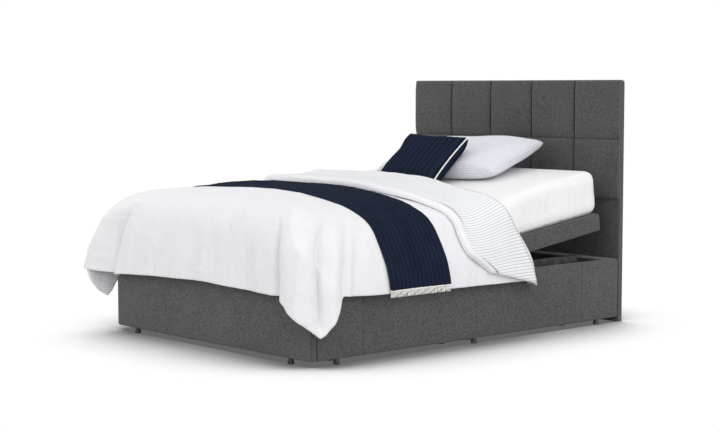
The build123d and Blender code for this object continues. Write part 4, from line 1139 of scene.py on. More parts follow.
@dataclass
class Duvet:
    """The duvet: crowned on the mattress, with folded drops and a pointed pouch at each corner."""

    plan: Plan
    form: DressForm
    thickness: float = 0.020
    tuck: float = 0.018
    counts: tuple[int, int, int] = (112, 26, 170)
    top_rows: int = 30
    drop_rows: int = 52
    cuts: Pair = (0.660, 0.985)
    most_out: float = 0.826
    crest: float = 0.691
    tip_reach: float = 0.022
    waves: Pair = (0.008, 0.0035)
    pucker: float = 0.0022
    softness: Pair = (0.005, 0.0016)
    far_dome: float = 0.06
    crowding: float = 1.25
    far_crease: Pair = (-0.039, -0.173)
    far_crease_width: float = 0.016
    far_crease_depth: float = 0.026
    flare_to_foot: float = 1.08
    near_hem: tuple[Pair, ...] = (
        (-0.760, 0.299), (-0.467, 0.291), (-0.300, 0.288), (-0.220, 0.284), (-0.165, 0.272),
        (-0.123, 0.253), (-0.055, 0.195), (0.000, 0.162), (0.048, 0.130), (0.072, 0.146),
        (0.109, 0.204), (0.150, 0.262), (0.184, 0.292), (0.250, 0.286), (0.400, 0.280),
        (0.720, 0.280), (0.820, 0.270), (1.050, 0.268), (1.400, 0.262),
    )
    far_hem: tuple[Pair, ...] = (
        (-0.760, 0.299), (-0.350, 0.288), (-0.120, 0.276), (-0.060, 0.268), (-0.030, 0.276),
        (0.000, 0.300), (0.020, 0.300), (0.045, 0.240), (0.075, 0.180), (0.100, 0.156),
        (0.130, 0.190), (0.170, 0.250), (0.220, 0.280), (1.400, 0.268),
    )
    pouch: tuple[Pair, ...] = (
        (-0.430, 0.000), (-0.310, 0.006), (-0.250, 0.008), (-0.226, -0.006), (-0.210, -0.034),
        (-0.190, 0.008), (-0.150, 0.034), (-0.090, 0.036), (-0.035, 0.022), (0.012, 0.006),
        (0.035, -0.018), (0.052, -0.038), (0.070, -0.010), (0.105, 0.030), (0.150, 0.020),
        (0.180, 0.000), (0.205, 0.010), (0.250, -0.004), (0.320, 0.006), (0.430, 0.000),
    )
    far_flare: tuple[Pair, ...] = (
        (0.100, 0.050), (0.156, 0.060), (0.230, 0.082), (0.300, 0.092), (0.400, 0.084),
        (0.530, 0.054), (0.600, 0.033), (0.660, 0.000),
    )

    def columns(self) -> tuple[np.ndarray, np.ndarray]:
        """The part of the outline and the share along it, for every column."""
        side, corner, foot = self.counts
        kinds, shares = [], []
        for part, count in zip(Side, (side, corner, foot, corner, side)):
            last = part is Side.FAR
            share = np.linspace(0, 1, count, endpoint=last)
            if part is Side.NEAR:
                share = 1 - (1 - share) ** self.crowding
            if part is Side.FAR:
                share = share**self.crowding
            kinds.append(np.full(count, part.value))
            shares.append(share)
        return np.concatenate(kinds), np.concatenate(shares)

    def ring(
        self,
        near: np.ndarray,
        far: np.ndarray,
        foot: np.ndarray,
        height: np.ndarray,
        lengths: np.ndarray,
    ) -> tuple[np.ndarray, np.ndarray]:
        """The outline at given distances outside the base.

        Args:
            near: rows by columns, how far the near side stands out.
            far: the same for the far side.
            foot: the same for the foot.
            height: the height, which sets how round the corners are.
            lengths: the lengths from the middle, which set where the sides end.

        Returns:
            Places in x and station, and directions outward.
        """
        kinds, share = self.columns()
        base, width = self.form.corner_radius, self.plan.half_width
        radii, centres = [], []
        for out, dome in ((near, self.form.dome_radius), (far, self.far_dome)):
            least = np.minimum(out, foot)
            low, high = base + np.clip(least, 0, None), np.clip(0.6 * (width + least), 0, dome)
            mix = smooth(0.48, 0.62, height)
            radii.append(np.minimum(low * (1 - mix) + high * mix, 0.9 * np.clip(width + least, 0, None)))
            centres.append(width + out - radii[-1])
        x, s = np.zeros_like(foot), np.zeros_like(foot)
        way = np.zeros(foot.shape + (2,))
        for part in Side:
            pick = kinds == part.value
            t = share[pick]
            sign, which = (1, 0) if part in (Side.NEAR, Side.NEAR_CORNER) else (-1, 1)
            cx, r = centres[which][:, pick], radii[which][:, pick]
            cs = r - foot[:, pick]
            if part in (Side.NEAR, Side.FAR):
                end = self.form.head_edge(sign * lengths[:, pick]) - self.tuck
                s[:, pick] = end - t * (end - cs) if sign > 0 else cs + t * (end - cs)
                x[:, pick] = sign * (cx + r)
                way[:, pick] = (sign, 0)
            elif part is Side.FOOT:
                x[:, pick] = centres[0][:, pick] * (1 - t) - centres[1][:, pick] * t
                s[:, pick] = -foot[:, pick]
                way[:, pick] = (0, -1)
            else:
                angle = t * math.pi / 2 if sign > 0 else (1 - t) * math.pi / 2
                x[:, pick] = sign * (cx + r * np.cos(angle))
                s[:, pick] = cs - r * np.sin(angle)
                way[:, pick] = np.stack([sign * np.cos(angle), -np.sin(angle)], axis=-1)
        return np.stack([x, s], axis=-1), way

    def round_corner(self, flat: np.ndarray) -> np.ndarray:
        """How far places lie round the nearer corner: towards the head above 0, the foot below."""
        return flat[..., 1] + np.abs(flat[..., 0]) - self.plan.half_width

    def surface(self) -> tuple[np.ndarray, np.ndarray]:
        """The duvet's outer face, as flat places and places on the cloth."""
        form = self.form
        kinds, share = self.columns()
        columns = len(kinds)
        out = np.full((1, columns), 0.042)
        rim = self.ring(out, out, out, out * 0 + 0.28, out * 0 + 0.95)[0][0]
        around = self.round_corner(rim)
        hems = [np.interp(around, *zip(*hem)) for hem in (self.near_hem, self.far_hem)]
        hem = np.where(rim[:, 0] > 0, *hems)
        falling = form.near.steps[form.near.steps > 2]
        low_step = np.interp(-hem, -form.near.at(falling)[:, 1], falling)
        edge_length = float(form.near.length_of(form.edge_step))
        top = np.linspace(0, 1, self.top_rows, endpoint=False)
        top_steps = form.near.step_of(top**0.8 * edge_length)
        drop = np.linspace(0, 1, self.drop_rows)[:, None]
        lengths = edge_length + drop * (form.near.length_of(low_step) - edge_length)
        steps = np.vstack([np.repeat(top_steps[:, None], columns, 1), form.near.step_of(lengths)])
        on_foot = form.foot.at(steps)
        length = form.near.length_of(steps)
        out = on_foot[..., 0]
        stations = self.ring(out, out, out, on_foot[..., 1], length)[0][..., 1]
        on_near = form.line(np.ones(steps.shape), stations, steps)
        on_far = form.line(-np.ones(steps.shape), stations, steps)
        to_foot = np.select(
            [kinds == Side.NEAR_CORNER.value, kinds == Side.FAR_CORNER.value, kinds == Side.FOOT.value],
            [share, 1 - share, 1.0],
            0.0,
        )
        on_side = np.where((kinds <= Side.FOOT.value)[:, None], on_near, on_far)
        height = on_side[..., 1] * (1 - to_foot) + on_foot[..., 1] * to_foot
        spread, way = self.ring(on_near[..., 0], on_far[..., 0], on_foot[..., 0], height, length)
        over = form.height_over(spread[..., 0], spread[..., 1])
        settled = smooth(0.30, 0.37, spread[..., 1]) * smooth(0.58, 0.62, height) * (to_foot > 0)
        height = height * (1 - settled) + np.minimum(over, self.crest) * settled
        flat = np.stack([spread[..., 0], spread[..., 1], height], axis=-1)
        cloth_out = length - edge_length
        cloth = self.ring(cloth_out, cloth_out, cloth_out, height, length)[0]
        return self.hung(flat, way, height - hem), cloth

    def hung(self, flat: np.ndarray, way: np.ndarray, above_hem: np.ndarray) -> np.ndarray:
        """Add the folds, pouches and soft unevenness of the cloth.

        Args:
            flat: places in x, station and height.
            way: the direction outward at each place.
            above_hem: how far each place is above its hem.

        Returns:
            The changed places.
        """
        height = flat[..., 2]
        around = self.round_corner(flat)
        is_near = flat[..., 0] > 0
        low = smooth(0.62, 0.34, height)
        covered = smooth(0.36, 0.42, flat[..., 1]) * (1 - smooth(0.74, 0.80, flat[..., 1]))
        pouch = curve_over(self.pouch, around) * smooth(0.64, 0.47, height)
        pouch = pouch * (1 - 0.8 * smooth(0.20, 0.135, height))
        tip = np.exp(-(((around - 0.06) / 0.09) ** 2)) * smooth(0.30, 0.14, height) * self.tip_reach
        crease = self.far_crease[0] + self.far_crease[1] * (height - 0.27)
        far_fold = np.exp(-(((around - crease) / self.far_crease_width) ** 2)) * -self.far_crease_depth
        far_fold = far_fold * smooth(0.66, 0.46, height) * (1 + 0.5 * smooth(0.33, 0.42, height))
        flare = np.interp(height, *zip(*self.far_flare)) * smooth(0, 0.036, around - crease)
        flare = np.where(is_near, 0, flare * (1 - smooth(0.02, 0.34, around)))
        rows = np.stack([around, height * 0.28, flat[..., 0] * 0], axis=-1)
        wave = ripple(rows, (0.10, 0.16, 1), 3.1) * self.waves[0]
        wave = wave + ripple(rows, (0.038, 0.10, 1), 8.7) * self.waves[1]
        pucker = ripple(rows, (0.020, 0.10, 1), 5.5) * self.pucker * smooth(0.055, 0.0, above_hem)
        outward = np.where(is_near, pouch + tip, far_fold)
        outward = outward + (wave * low + pucker) * (1 - 0.75 * covered)
        soft = ripple(flat, (0.30, 0.24, 0.20), 1.7) * self.softness[0]
        soft = soft + ripple(flat, (0.09, 0.075, 0.09), 6.2) * self.softness[1]
        soft = soft * (1 - 0.8 * covered)
        lift = smooth(0.56, 0.67, height)
        changed = flat.copy()
        changed[..., 0] += way[..., 0] * (outward + soft * (1 - lift)) - flare
        changed[..., 1] += way[..., 1] * (outward + soft * (1 - lift)) - self.flare_to_foot * flare
        changed[..., 0] = np.maximum(changed[..., 0], -self.most_out)
        changed[..., 2] += soft * lift
        return changed

    def build(self, finishes: Finishes) -> list[Piece]:
        """Build the duvet in three stretches, cut under its covers, and dress it."""
        flat, cloth = self.surface()
        whole = cloth_piece("duvet", self.plan.raised(flat, *self.plan.bedding_rise), cloth)
        finishes.dress(whole, WHITE_COTTON)
        whole.data.materials.append(finishes.get(DUVET_REVERSE))
        thicken(whole, self.thickness, inner_material=1)
        shade_smooth(whole)
        parts = split_across(
            whole, [self.plan.at(place) for place in self.cuts],
            ("duvet_foot_stretch", "duvet_middle_stretch", "duvet_head_stretch"),
        )
        stands_for = (["duvet_foot"], ["duvet_middle", "duvet_seat"], ["duvet_turn_back"])
        folds = (Fold.KNEE, Fold.THIGH, Fold.BEDDING_AT_HEAD)
        for part, nodes, fold in zip(parts, stands_for, folds):
            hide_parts(*nodes)
            fold.bend(part, self.plan)
        return parts


@dataclass
class TurnedBackEnd:
    """The head end of the duvet, folded back with its striped reverse up."""

    plan: Plan
    form: DressForm
    foot_hem: float = 0.318
    head_hem: float = 0.244
    foot_edge: tuple[Pair, ...] = (
        (0.00, 0.768), (0.24, 0.768), (0.36, 0.785), (0.52, 0.828), (0.65, 0.874),
        (0.76, 0.876), (0.84, 0.895), (0.90, 0.972), (0.94, 1.014), (1.00, 1.030),
    )
    thickness: float = 0.028
    fold_thickness: float = 0.030
    columns: int = 150
    cut: float = 0.985
    piping_inset: float = 0.026
    piping_radius: float = 0.0028

    def edges(self, across: np.ndarray) -> tuple[np.ndarray, np.ndarray]:
        """The stations of the foot edge and the head edge at lengths from the middle."""
        wander = ripple(np.stack([across, across * 0], axis=-1), (0.35, 1), 2.4)
        wander = wander * smooth(0.1, 0.4, np.abs(across))
        foot = curve_over(self.foot_edge, np.abs(across)) + wander * 0.010
        return foot, self.form.head_edge(across)

    def widened(self, across: np.ndarray, share: np.ndarray) -> np.ndarray:
        """Let the outer part fall lower towards the head edge.

        Args:
            across: lengths from the middle at the foot edge.
            share: the share of the way to the head edge.

        Returns:
            The lengths from the middle, which grow towards the head edge.
        """
        foot, head = self.form.length_to(self.foot_hem), self.form.length_to(self.head_hem)
        return across + np.sign(across) * np.abs(across / foot) ** 6 * (head - foot) * share

    def loop(self) -> np.ndarray:
        """One section through the folded end: share along, extra station and height."""
        t, fold = self.thickness, self.fold_thickness
        over = [
            (0.0, 0.016, 0.0015), (0.0, 0.003, 0.004), (0.0, -0.001, t * 0.35),
            (0.0, 0.001, t * 0.75), (0.0, 0.008, t * 1.04), (0.0, 0.018, t * 1.12),
            (0.0, self.piping_inset, t * 0.98), (0.0, 0.040, t * 1.08),
        ]
        over += [(share, 0.0, t * 1.04) for share in np.linspace(0.12, 0.9, 34)]
        over += [
            (1.0, -0.040, t * 0.98), (1.0, -0.024, t * 0.80), (1.0, -0.010, t * 0.35),
            (1.0, -0.002, -0.010), (1.0, 0.0, -fold * 0.8), (1.0, -0.006, -fold - 0.016),
            (1.0, -0.022, -fold - 0.020),
        ]
        under = [(share, 0.0, UNDERSIDE) for share in np.linspace(0.94, 0.06, 22)]
        return np.array(over + under)

    def surface(self) -> tuple[np.ndarray, np.ndarray]:
        """Flat places of the closed fold and its places on the cloth."""
        reach = self.form.length_to(self.foot_hem)
        across = np.linspace(-1, 1, self.columns)
        across = np.sign(across) * np.abs(across) ** 0.9 * reach
        foot, head = self.edges(across)
        loop = self.loop()
        share, extra, raised = (loop[:, i][:, None] for i in range(3))
        stations = foot + share * (head - foot) + extra
        wide = self.widened(across, share)
        under = -(self.fold_thickness + 0.014) * smooth(head - 0.020, head - 0.008, stations)
        proud = np.where(raised == UNDERSIDE, under + 0.0015, raised)
        spot = np.stack([wide, stations, proud], axis=-1)
        side_share = np.clip(np.abs(across) / reach, 0, 1)
        soft = ripple(spot, (0.16, 0.10, 1), 9.4) * 0.004 + ripple(spot, (0.05, 0.06, 1), 4.6) * 0.0018
        creased = ripple(spot, (0.35, 0.040, 1), 7.3) * 0.0030 * smooth(0.5, 1.0, side_share)
        free = smooth(0.004, 0.02, proud)
        proud = proud + (soft + creased) * free
        return self.form.arch(wide, stations, proud), np.stack([wide, stations - foot], axis=-1)

    def piping(self, finishes: Finishes) -> Piece:
        """The corded seam just inside the foot edge."""
        reach = self.form.length_to(self.foot_hem + 0.004)
        across = np.linspace(-reach, reach, 160)
        foot, _ = self.edges(across)
        spot = np.stack([across, foot + self.piping_inset], axis=-1)
        lift = self.thickness * 1.01 + ripple(spot, (0.05, 1), 1.2) * 0.0012
        line = self.form.arch(across, foot + self.piping_inset, lift)
        line[..., 1] += self.plan.foot
        return tube("turn_back_piping", line, self.piping_radius, finishes, WHITE_COTTON)

    def build(self, finishes: Finishes) -> list[Piece]:
        """Build the fold in two stretches that meet over the seat, and dress it."""
        flat, cloth = self.surface()
        grid = self.plan.raised(flat, *self.plan.bedding_rise)
        whole = cloth_piece("turned_back_end", grid, cloth, close_rows=True)
        close_ends(whole)
        finishes.dress(whole, TURNED_COTTON)
        names = ("duvet_turn_back_foot_side", "duvet_turn_back_head_side")
        parts = split_across(whole, [self.plan.at(self.cut)], names)
        piping = split_across(
            self.piping(finishes), [self.plan.at(self.cut)],
            ("turn_back_piping_top", "turn_back_piping_ends"),
        )
        for part in parts:
            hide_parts("duvet_turn_back")
        for row in (parts, piping):
            for part, fold in zip(row, (Fold.THIGH, Fold.BEDDING_AT_HEAD)):
                fold.bend(part, self.plan)
        return [*parts, *piping]


def close_ends(piece: Piece) -> None:
    """Close the open ends of a rolled surface."""
    work = bmesh.new()
    work.from_mesh(piece.data)
    rim = [edge for edge in work.edges if edge.is_boundary]
    bmesh.ops.holes_fill(work, edges=rim, sides=0)
    bmesh.ops.recalc_face_normals(work, faces=work.faces)
    work.to_mesh(piece.data)
    work.free()
    shade_smooth(piece)


def tube(
    name: str, line: np.ndarray, radius: float, finishes: Finishes, finish: Cotton
) -> Piece:
    """A sewn cord that follows a line, closed at both ends.

    Args:
        name: the piece's name.
        line: the places it follows.
        radius: its radius.
        finishes: where its finish is kept.
        finish: its finish.

    Returns:
        The cord.
    """
    ahead = unit(np.gradient(line, axis=0))
    helper = np.where(np.abs(ahead[:, 2:]) > 0.9, (0.0, 1.0, 0.0), (0.0, 0.0, 1.0))
    first = unit(np.cross(ahead, helper))
    second = np.cross(ahead, first)
    angles = np.linspace(0, math.tau, CORD_FACES, endpoint=False)
    grid = np.stack(
        [line + radius * (math.cos(a) * first + math.sin(a) * second) for a in angles], axis=1
    )
    travelled = np.concatenate([[0], np.cumsum(np.linalg.norm(np.diff(line, axis=0), axis=1))])
    flat = np.stack(np.broadcast_arrays(angles * radius, travelled[:, None]), axis=-1)
    piece = cloth_piece(name, grid, flat, close_columns=True)
    close_ends(piece)
    finishes.dress(piece, finish)
    return piece


@dataclass
class Runner:
    """The navy runner laid across the duvet, with a fringe along both hems."""

    plan: Plan
    form: DressForm
    start: float = 0.394
    end: float = 0.755
    hem: float = 0.292
    thickness: float = 0.005
    rib_count: int = 14
    rib_depth: float = 0.0016
    fringe_drop: float = 0.029
    strands: int = 44
    strand_faces: int = 7
    flatness: float = 0.55
    heading_radius: float = 0.0034
    stand_off: Pair = (0.0045, 0.0085)
    rows_per_rib: int = 6
    columns: int = 190

    def lift(self, across: np.ndarray) -> np.ndarray:
        """How far the runner stands off the smooth form."""
        reach = self.form.length_to(self.hem)
        share = np.abs(across) / reach
        least, more = self.stand_off
        return least + more * smooth(0.62, 1.0, share)

    def build(self, finishes: Finishes) -> list[Piece]:
        """Build the runner and its fringe, and dress them."""
        reach = self.form.length_to(self.hem)
        across = np.linspace(-reach, reach, self.columns)
        rows = self.rib_count * self.rows_per_rib + 1
        width = np.linspace(0, 1, rows)[:, None]
        rib = np.abs(np.sin(width * self.rib_count * math.pi)) ** 0.6
        spot_across = np.broadcast_to(across, (rows, self.columns))
        stations = self.start + width * (self.end - self.start) + 0 * across
        spot = np.stack([spot_across, stations], axis=-1)
        sway = ripple(spot, (0.30, 0.8), 4.4) * 0.006 * smooth(0.3, 1.0, np.abs(across) / reach)
        stations = stations + sway
        wavy = ripple(spot, (0.030, 0.022), 2.8) * 0.0013 + ripple(spot, (0.16, 0.12), 6.1) * 0.0022
        edge = smooth(0, 0.03, width) * smooth(1, 0.97, width)
        proud = self.lift(spot_across) + self.rib_depth * rib * edge + wavy
        flat = self.form.arch(spot_across, stations, proud)
        flat[..., 1] += self.plan.foot
        cloth = np.stack([spot_across, width * (self.end - self.start) + 0 * across], axis=-1)
        piece = cloth_piece("bed_runner", flat, cloth)
        thicken(piece, self.thickness)
        shade_smooth(piece)
        finishes.dress(piece, RUNNER_NAVY)
        fringe = self.fringe(finishes)
        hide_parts("runner")
        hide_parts("runner_fringe")
        for part in (piece, fringe):
            Fold.KNEE.bend(part, self.plan)
        return [piece, fringe]

    def fringe(self, finishes: Finishes) -> Piece:
        """Twisted tassels under a woven heading along both hems."""
        reach = self.form.length_to(self.hem)
        parts = []
        pitch = (self.end - self.start) / self.strands
        for side in (-1, 1):
            for i in range(self.strands):
                station = self.start + (i + 0.5) * pitch
                lean = noise.noise(Vector((i * 1.7, side, 0.3))) * 0.004
                length = self.fringe_drop * (1 + 0.08 * noise.noise(Vector((i * 2.3, side, 4.0))))
                steps = np.linspace(-0.003, length, 7)
                across = side * (reach + steps)
                share = (steps + 0.003) / (length + 0.003)
                stations = station + lean * share**2
                line = self.form.arch(across, stations, self.lift(across) - 0.002)
                line[..., 1] += self.plan.foot
                swell = pitch * (0.40 + 0.13 * np.sin(share * 9 + i)) * (1 - 0.25 * share)
                parts.append(self.strand(line, swell, side * i, finishes))
            parts.append(self.heading(side, reach, finishes))
        return join("runner_tassels", parts)

    def strand(
        self, line: np.ndarray, swell: np.ndarray, number: int, finishes: Finishes
    ) -> Piece:
        """One tassel, a little flattened, along a line with a radius at each place."""
        angles = np.linspace(0, math.tau, self.strand_faces, endpoint=False)
        ring = np.stack([np.cos(angles) * self.flatness, np.sin(angles), angles * 0], axis=-1)
        grid = line[:, None] + swell[:, None, None] * ring
        piece = cloth_piece(f"tassel_{number}", grid, grid[..., 1:], close_columns=True)
        close_ends(piece)
        finishes.dress(piece, CREAM_CORD)
        return piece

    def heading(self, side: int, reach: float, finishes: Finishes) -> Piece:
        """The narrow woven band that the tassels hang from."""
        stations = np.linspace(self.start, self.end, 60)
        lift = self.lift(np.array([reach]))[0]
        across = np.full_like(stations, side * (reach + 0.0015))
        line = self.form.arch(across, stations, np.full_like(stations, lift))
        line[..., 1] += self.plan.foot
        return tube(f"heading_{side}", line, self.heading_radius, finishes, CREAM_CORD)


def blocky_grid(
    low: Sequence[float],
    high: Sequence[float],
    lines: Sequence[np.ndarray],
    radius: float,
) -> tuple[list[np.ndarray], list[tuple[int, int]]]:
    """The six faces of a box with rounded edges, each as a grid of places.

    Args:
        low: the box's lowest corner.
        high: the box's highest corner.
        lines: shares from 0 to 1 along each axis where grid lines lie.
        radius: the radius of its edges.

    Returns:
        The grids, and the axis and end of each face.
    """
    low, high = np.array(low, float), np.array(high, float)
    grids, faces = [], []
    for axis in range(3):
        first, second = [a for a in range(3) if a != axis]
        for end in (0, 1):
            u, v = np.meshgrid(lines[first], lines[second], indexing="ij")
            place = np.zeros(u.shape + (3,))
            place[..., first] = low[first] + u * (high - low)[first]
            place[..., second] = low[second] + v * (high - low)[second]
            place[..., axis] = high[axis] if end else low[axis]
            core = np.clip(place, low + radius, high - radius)
            grids.append(core + unit(place - core) * radius)
            faces.append((axis, end))
    return grids, faces


def edge_lines(length: float, radius: float, step: float, extra: Sequence[float] = ()) -> np.ndarray:
    """Shares along an edge: close together in its rounded ends and round extra places."""
    ends = radius * (1 - np.cos(np.linspace(0, math.pi / 2, 5)))
    middle = np.linspace(radius, length - radius, max(2, int((length - 2 * radius) / step)))
    marks = [place + offset for place in extra for offset in (-0.006, -0.0025, 0, 0.0025, 0.006)]
    places = np.concatenate([ends, middle, length - ends, marks])
    return np.unique(np.clip(np.round(places, 5), 0, length)) / length


@dataclass
class Mattress:
    """The foam mattress and the fitted sheet drawn over it, each in three stretches."""

    plan: Plan
    form: DressForm
    radius: float = 0.050
    sheet_proud: float = 0.0024
    step: float = 0.016
    cuts: Pair = (0.660, 0.945)
    pull_depth: float = 0.011
    margin: float = 0.031
    droop: float = 0.022
    depth: float = 0.215
    end_tuck: float = 0.21
    sheet_thickness: float = 0.0012
    top_unevenness: float = 0.0012
    belly: float = 0.0022
    sheet_width: float = 1.76
    stretches: tuple[float, float, float] = (0.660, 0.285, 0.948)

    def skin(self, name: str, inset: float, is_sheet: bool) -> Piece:
        """Build the mattress's skin at an inset from the sheet's outside.

        Args:
            name: the piece's name.
            inset: how far inside it lies.
            is_sheet: leaves the underside open.

        Returns:
            The whole piece, raised at the head.
        """
        plan = self.plan
        low = (-plan.deck_half_width + inset, 0.005 + inset, plan.deck_top + 0.0006)
        high = (plan.deck_half_width - inset, plan.mattress_end - inset, plan.mattress_top - inset)
        radius = self.radius - inset
        spans = [b - a for a, b in zip(low, high)]
        steps = (self.step * 2.2, self.step, self.step)
        lines = [edge_lines(span, radius, step) for span, step in zip(spans, steps)]
        grids, faces = blocky_grid(low, high, lines, radius)
        parts = []
        for grid, (axis, end) in zip(grids, faces):
            if is_sheet and axis == 2 and end == 0:
                continue
            grid = self.creased(grid, axis, end)
            flat = grid[..., [a for a in range(3) if a != axis]]
            shoulder = smooth(0.15, 0.62, grid[..., 0]) * (1 - smooth(1.24, 1.62, grid[..., 1]))
            grid[..., 2] -= self.droop * shoulder * (grid[..., 2] - plan.deck_top) / self.depth
            placed = plan.raised(self.form.inside(grid, self.margin + inset))
            parts.append(cloth_piece(f"{name}_{axis}{end}", placed, flat))
        whole = join(name, parts)
        weld(whole, 2e-4)
        shade_smooth(whole)
        return whole

    def creased(self, grid: np.ndarray, axis: int, end: int) -> np.ndarray:
        """Pull the sides into soft upright creases towards the sheet's tucked hem."""
        side = grid.copy()
        if axis == 2:
            side[..., 2] += ripple(grid[..., :2], (0.5, 0.4), 5.0) * self.top_unevenness
            return side
        other = 1 - axis
        height = (grid[..., 2] - self.plan.deck_top) / self.depth
        place = np.stack([grid[..., other] - height * 0.045, height * 0.30], axis=-1)
        broad = ripple(place, (0.060, 0.8), 3.3)
        fine = ripple(place, (0.027, 0.5), 7.9)
        pull = -self.pull_depth * (np.abs(broad) ** 0.8 + 0.45 * np.abs(fine))
        share = smooth(1.0, 0.55, height) * 0.8 + 0.2
        inside = smooth(0, 0.08, np.minimum(height, 1.05 - height))
        belly = self.belly * np.sin(np.clip(height, 0, 1) * math.pi)
        side[..., axis] += (1 if end else -1) * (pull * share * inside + belly)
        return side

    def build(self, finishes: Finishes) -> list[Piece]:
        """Build mattress and sheet, cut them at the hinge folds, and dress them."""
        pieces = []
        cuts = [self.plan.at(place) for place in self.cuts]
        for label, node, slot, inset, finish in (
            ("mattress", "mattress", "mattress_foam", self.sheet_proud, MATTRESS_KNIT),
            ("sheet", "fitted_sheet", "sheet_cotton", 0.0, SHEET_COTTON),
        ):
            is_sheet = label == "sheet"
            whole = self.skin(f"whole_{label}", inset, is_sheet)
            finishes.dress(whole, finish)
            if is_sheet:
                thicken(whole, self.sheet_thickness)
                shade_smooth(whole)
            names = [f"{label}_{stretch}_stretch" for stretch in ("leg", "seat", "head")]
            parts = split_across(whole, cuts, names)
            stands_for = ([f"{node}_calf", f"{node}_thigh"], [f"{node}_middle"], [f"{node}_head"])
            leg, seat, head = self.stretches
            lengths = (leg + self.end_tuck, seat, head + self.end_tuck)
            for part, nodes, length in zip(parts, stands_for, lengths):
                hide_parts(*nodes)
            for part, fold in zip(parts, (Fold.KNEE, Fold.THIGH, Fold.MATTRESS_AT_HEAD)):
                fold.bend(part, self.plan)
            pieces += parts
        return pieces


@dataclass
class Pad:
    """A stuffed pad with a seam all round, laid leaning on the head of the mattress."""

    plan: Plan
    name: str
    node: str
    slot: str
    finish: Cotton | QuiltedNavy
    length: float
    width: float
    height: float
    under_share: float
    station: float
    side: float
    lean: float
    turn: float
    fill: float = 0.6
    fullness: float = 2.6
    roundness: float = 0.5
    seam_lift: float = 0.0
    draw_in: float = 0.10
    rows: int = 74
    columns: int = 52
    channels: int = 0
    channel_depth: float = 0.0
    pressure: float = 3.0
    cap: float = 0.010

    def outline(self, u: np.ndarray, v: np.ndarray) -> tuple[np.ndarray, np.ndarray]:
        """The pad's plan, with sides drawn in between its corners."""
        x = u * self.length / 2 * (1 - self.draw_in * (1 - v * v) * np.abs(u) ** 1.5)
        y = v * self.width / 2 * (1 - self.draw_in * (1 - u * u) * np.abs(v) ** 1.5)
        return x, y

    def faces(self) -> tuple[np.ndarray, np.ndarray]:
        """The upper and lower face about the pad's own middle."""
        u, v = np.meshgrid(crowded(self.rows, 0.6), crowded(self.columns, 0.6), indexing="ij")
        x, y = self.outline(u, v)
        swell = ((1 - np.abs(u) ** self.fullness) * (1 - np.abs(v) ** self.fullness)) ** self.roundness
        crown = self.height / (1 + self.under_share)
        dent = np.zeros_like(swell)
        if self.channels:
            phase = (u + 1) / 2 * self.channels
            rib = np.abs(np.sin(phase * math.pi))
            dent = self.channel_depth * (1 - rib**0.55) * np.minimum(1, swell * 2)
        place = np.stack([x, y], axis=-1)
        seam = smooth(0.0, 0.5, swell)
        radial = np.stack([np.arctan2(y, x) * 0.5, np.hypot(x, y) * 0.25], axis=-1)
        gather = ripple(radial, (0.035, 0.2), 3.6) * 0.005 * (1 - seam) * np.minimum(1, swell * 4)
        soft = ripple(place, (0.16, 0.13), 2.2) * 0.008 * seam
        tops = swell * crown - dent + gather + soft
        bottoms = -swell * crown * self.under_share - gather
        over, under = (np.stack([x, y, z + self.seam_lift], axis=-1) for z in (tops, bottoms))
        return over, under

    @staticmethod
    def cloth(face: np.ndarray) -> np.ndarray:
        """The places of a face's grid on its flat cloth, from lengths along the grid's lines."""
        flat = np.zeros(face.shape[:2] + (2,))
        for axis in (0, 1):
            gaps = np.linalg.norm(np.diff(face, axis=axis), axis=-1)
            lengths = np.cumsum(gaps, axis=axis)
            pad = [(1, 0), (0, 0)] if axis == 0 else [(0, 0), (1, 0)]
            lengths = np.pad(lengths, pad)
            middle = np.take(lengths, [lengths.shape[axis] // 2], axis=axis)
            flat[..., axis] = lengths - middle
        return flat

    def placement(self) -> Matrix:
        """The turn that leans the pad back and swings it round."""
        return Matrix.Rotation(math.radians(self.turn), 4, "Z") @ Matrix.Rotation(
            math.radians(self.lean), 4, "X"
        )

    def laid(self, place: np.ndarray, lift: float) -> np.ndarray:
        """Carry places from the pad's own axes to the bed, raised with the head section."""
        turn = np.array(self.placement().to_3x3())
        flat = place @ turn.T
        flat[..., 0] += self.side
        flat[..., 1] += self.station
        flat[..., 2] += lift
        flat = self.plan.leaned(flat, self.plan.rest_angle)
        flat[..., 1] += self.plan.foot
        return flat

    def build(self, finishes: Finishes) -> list[Piece]:
        """Build the pad, swell it, lay it on the mattress, and dress it."""
        over, under = self.faces()
        upper = cloth_piece(f"{self.name}_upper", over, self.cloth(over))
        lower = cloth_piece(f"{self.name}_lower", under, self.cloth(under))
        pad = join(self.name, [upper, lower])
        weld(pad, 2e-4)
        inflate(pad, self.pressure, self.cap)
        shade_smooth(pad)
        local = np.array([vertex.co for vertex in pad.data.vertices])
        turned = local @ np.array(self.placement().to_3x3()).T
        lift = self.plan.mattress_top + 0.0012 - turned[:, 2].min()
        pad.data.vertices.foreach_set("co", self.laid(local, lift).ravel())
        pad.data.update()
        finishes.dress(pad, self.finish)
        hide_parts(self.node)
        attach(pad, Body.HEAD.value)
        return [pad, *self.trim(lift, finishes)]

    def trim(self, lift: float, finishes: Finishes) -> list[Piece]:
        """A plain pad has no trim."""
        return []


@dataclass
class CordedPad(Pad):
    """A pad with a pale cord sewn along each of its short sides."""

    cord_radius: float = 0.0034

    def trim(self, lift: float, finishes: Finishes) -> list[Piece]:
        """The cords along the seam's short sides."""
        across = np.linspace(-1, 1, 40)
        cords = []
        for end in (1, -1):
            x, y = self.outline(np.full_like(across, end), across)
            grow = 1 + 0.002 / np.maximum(np.hypot(x, y), 0.01)
            line = np.stack([x * grow, y * grow, np.full_like(x, self.seam_lift)], axis=-1)
            cords.append(
                tube(f"{self.name}_cord", self.laid(line, lift), self.cord_radius, finishes, CREAM_CORD)
            )
        cord = join(f"{self.name}_cord", cords)
        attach(cord, Body.HEAD.value)
        return [cord]


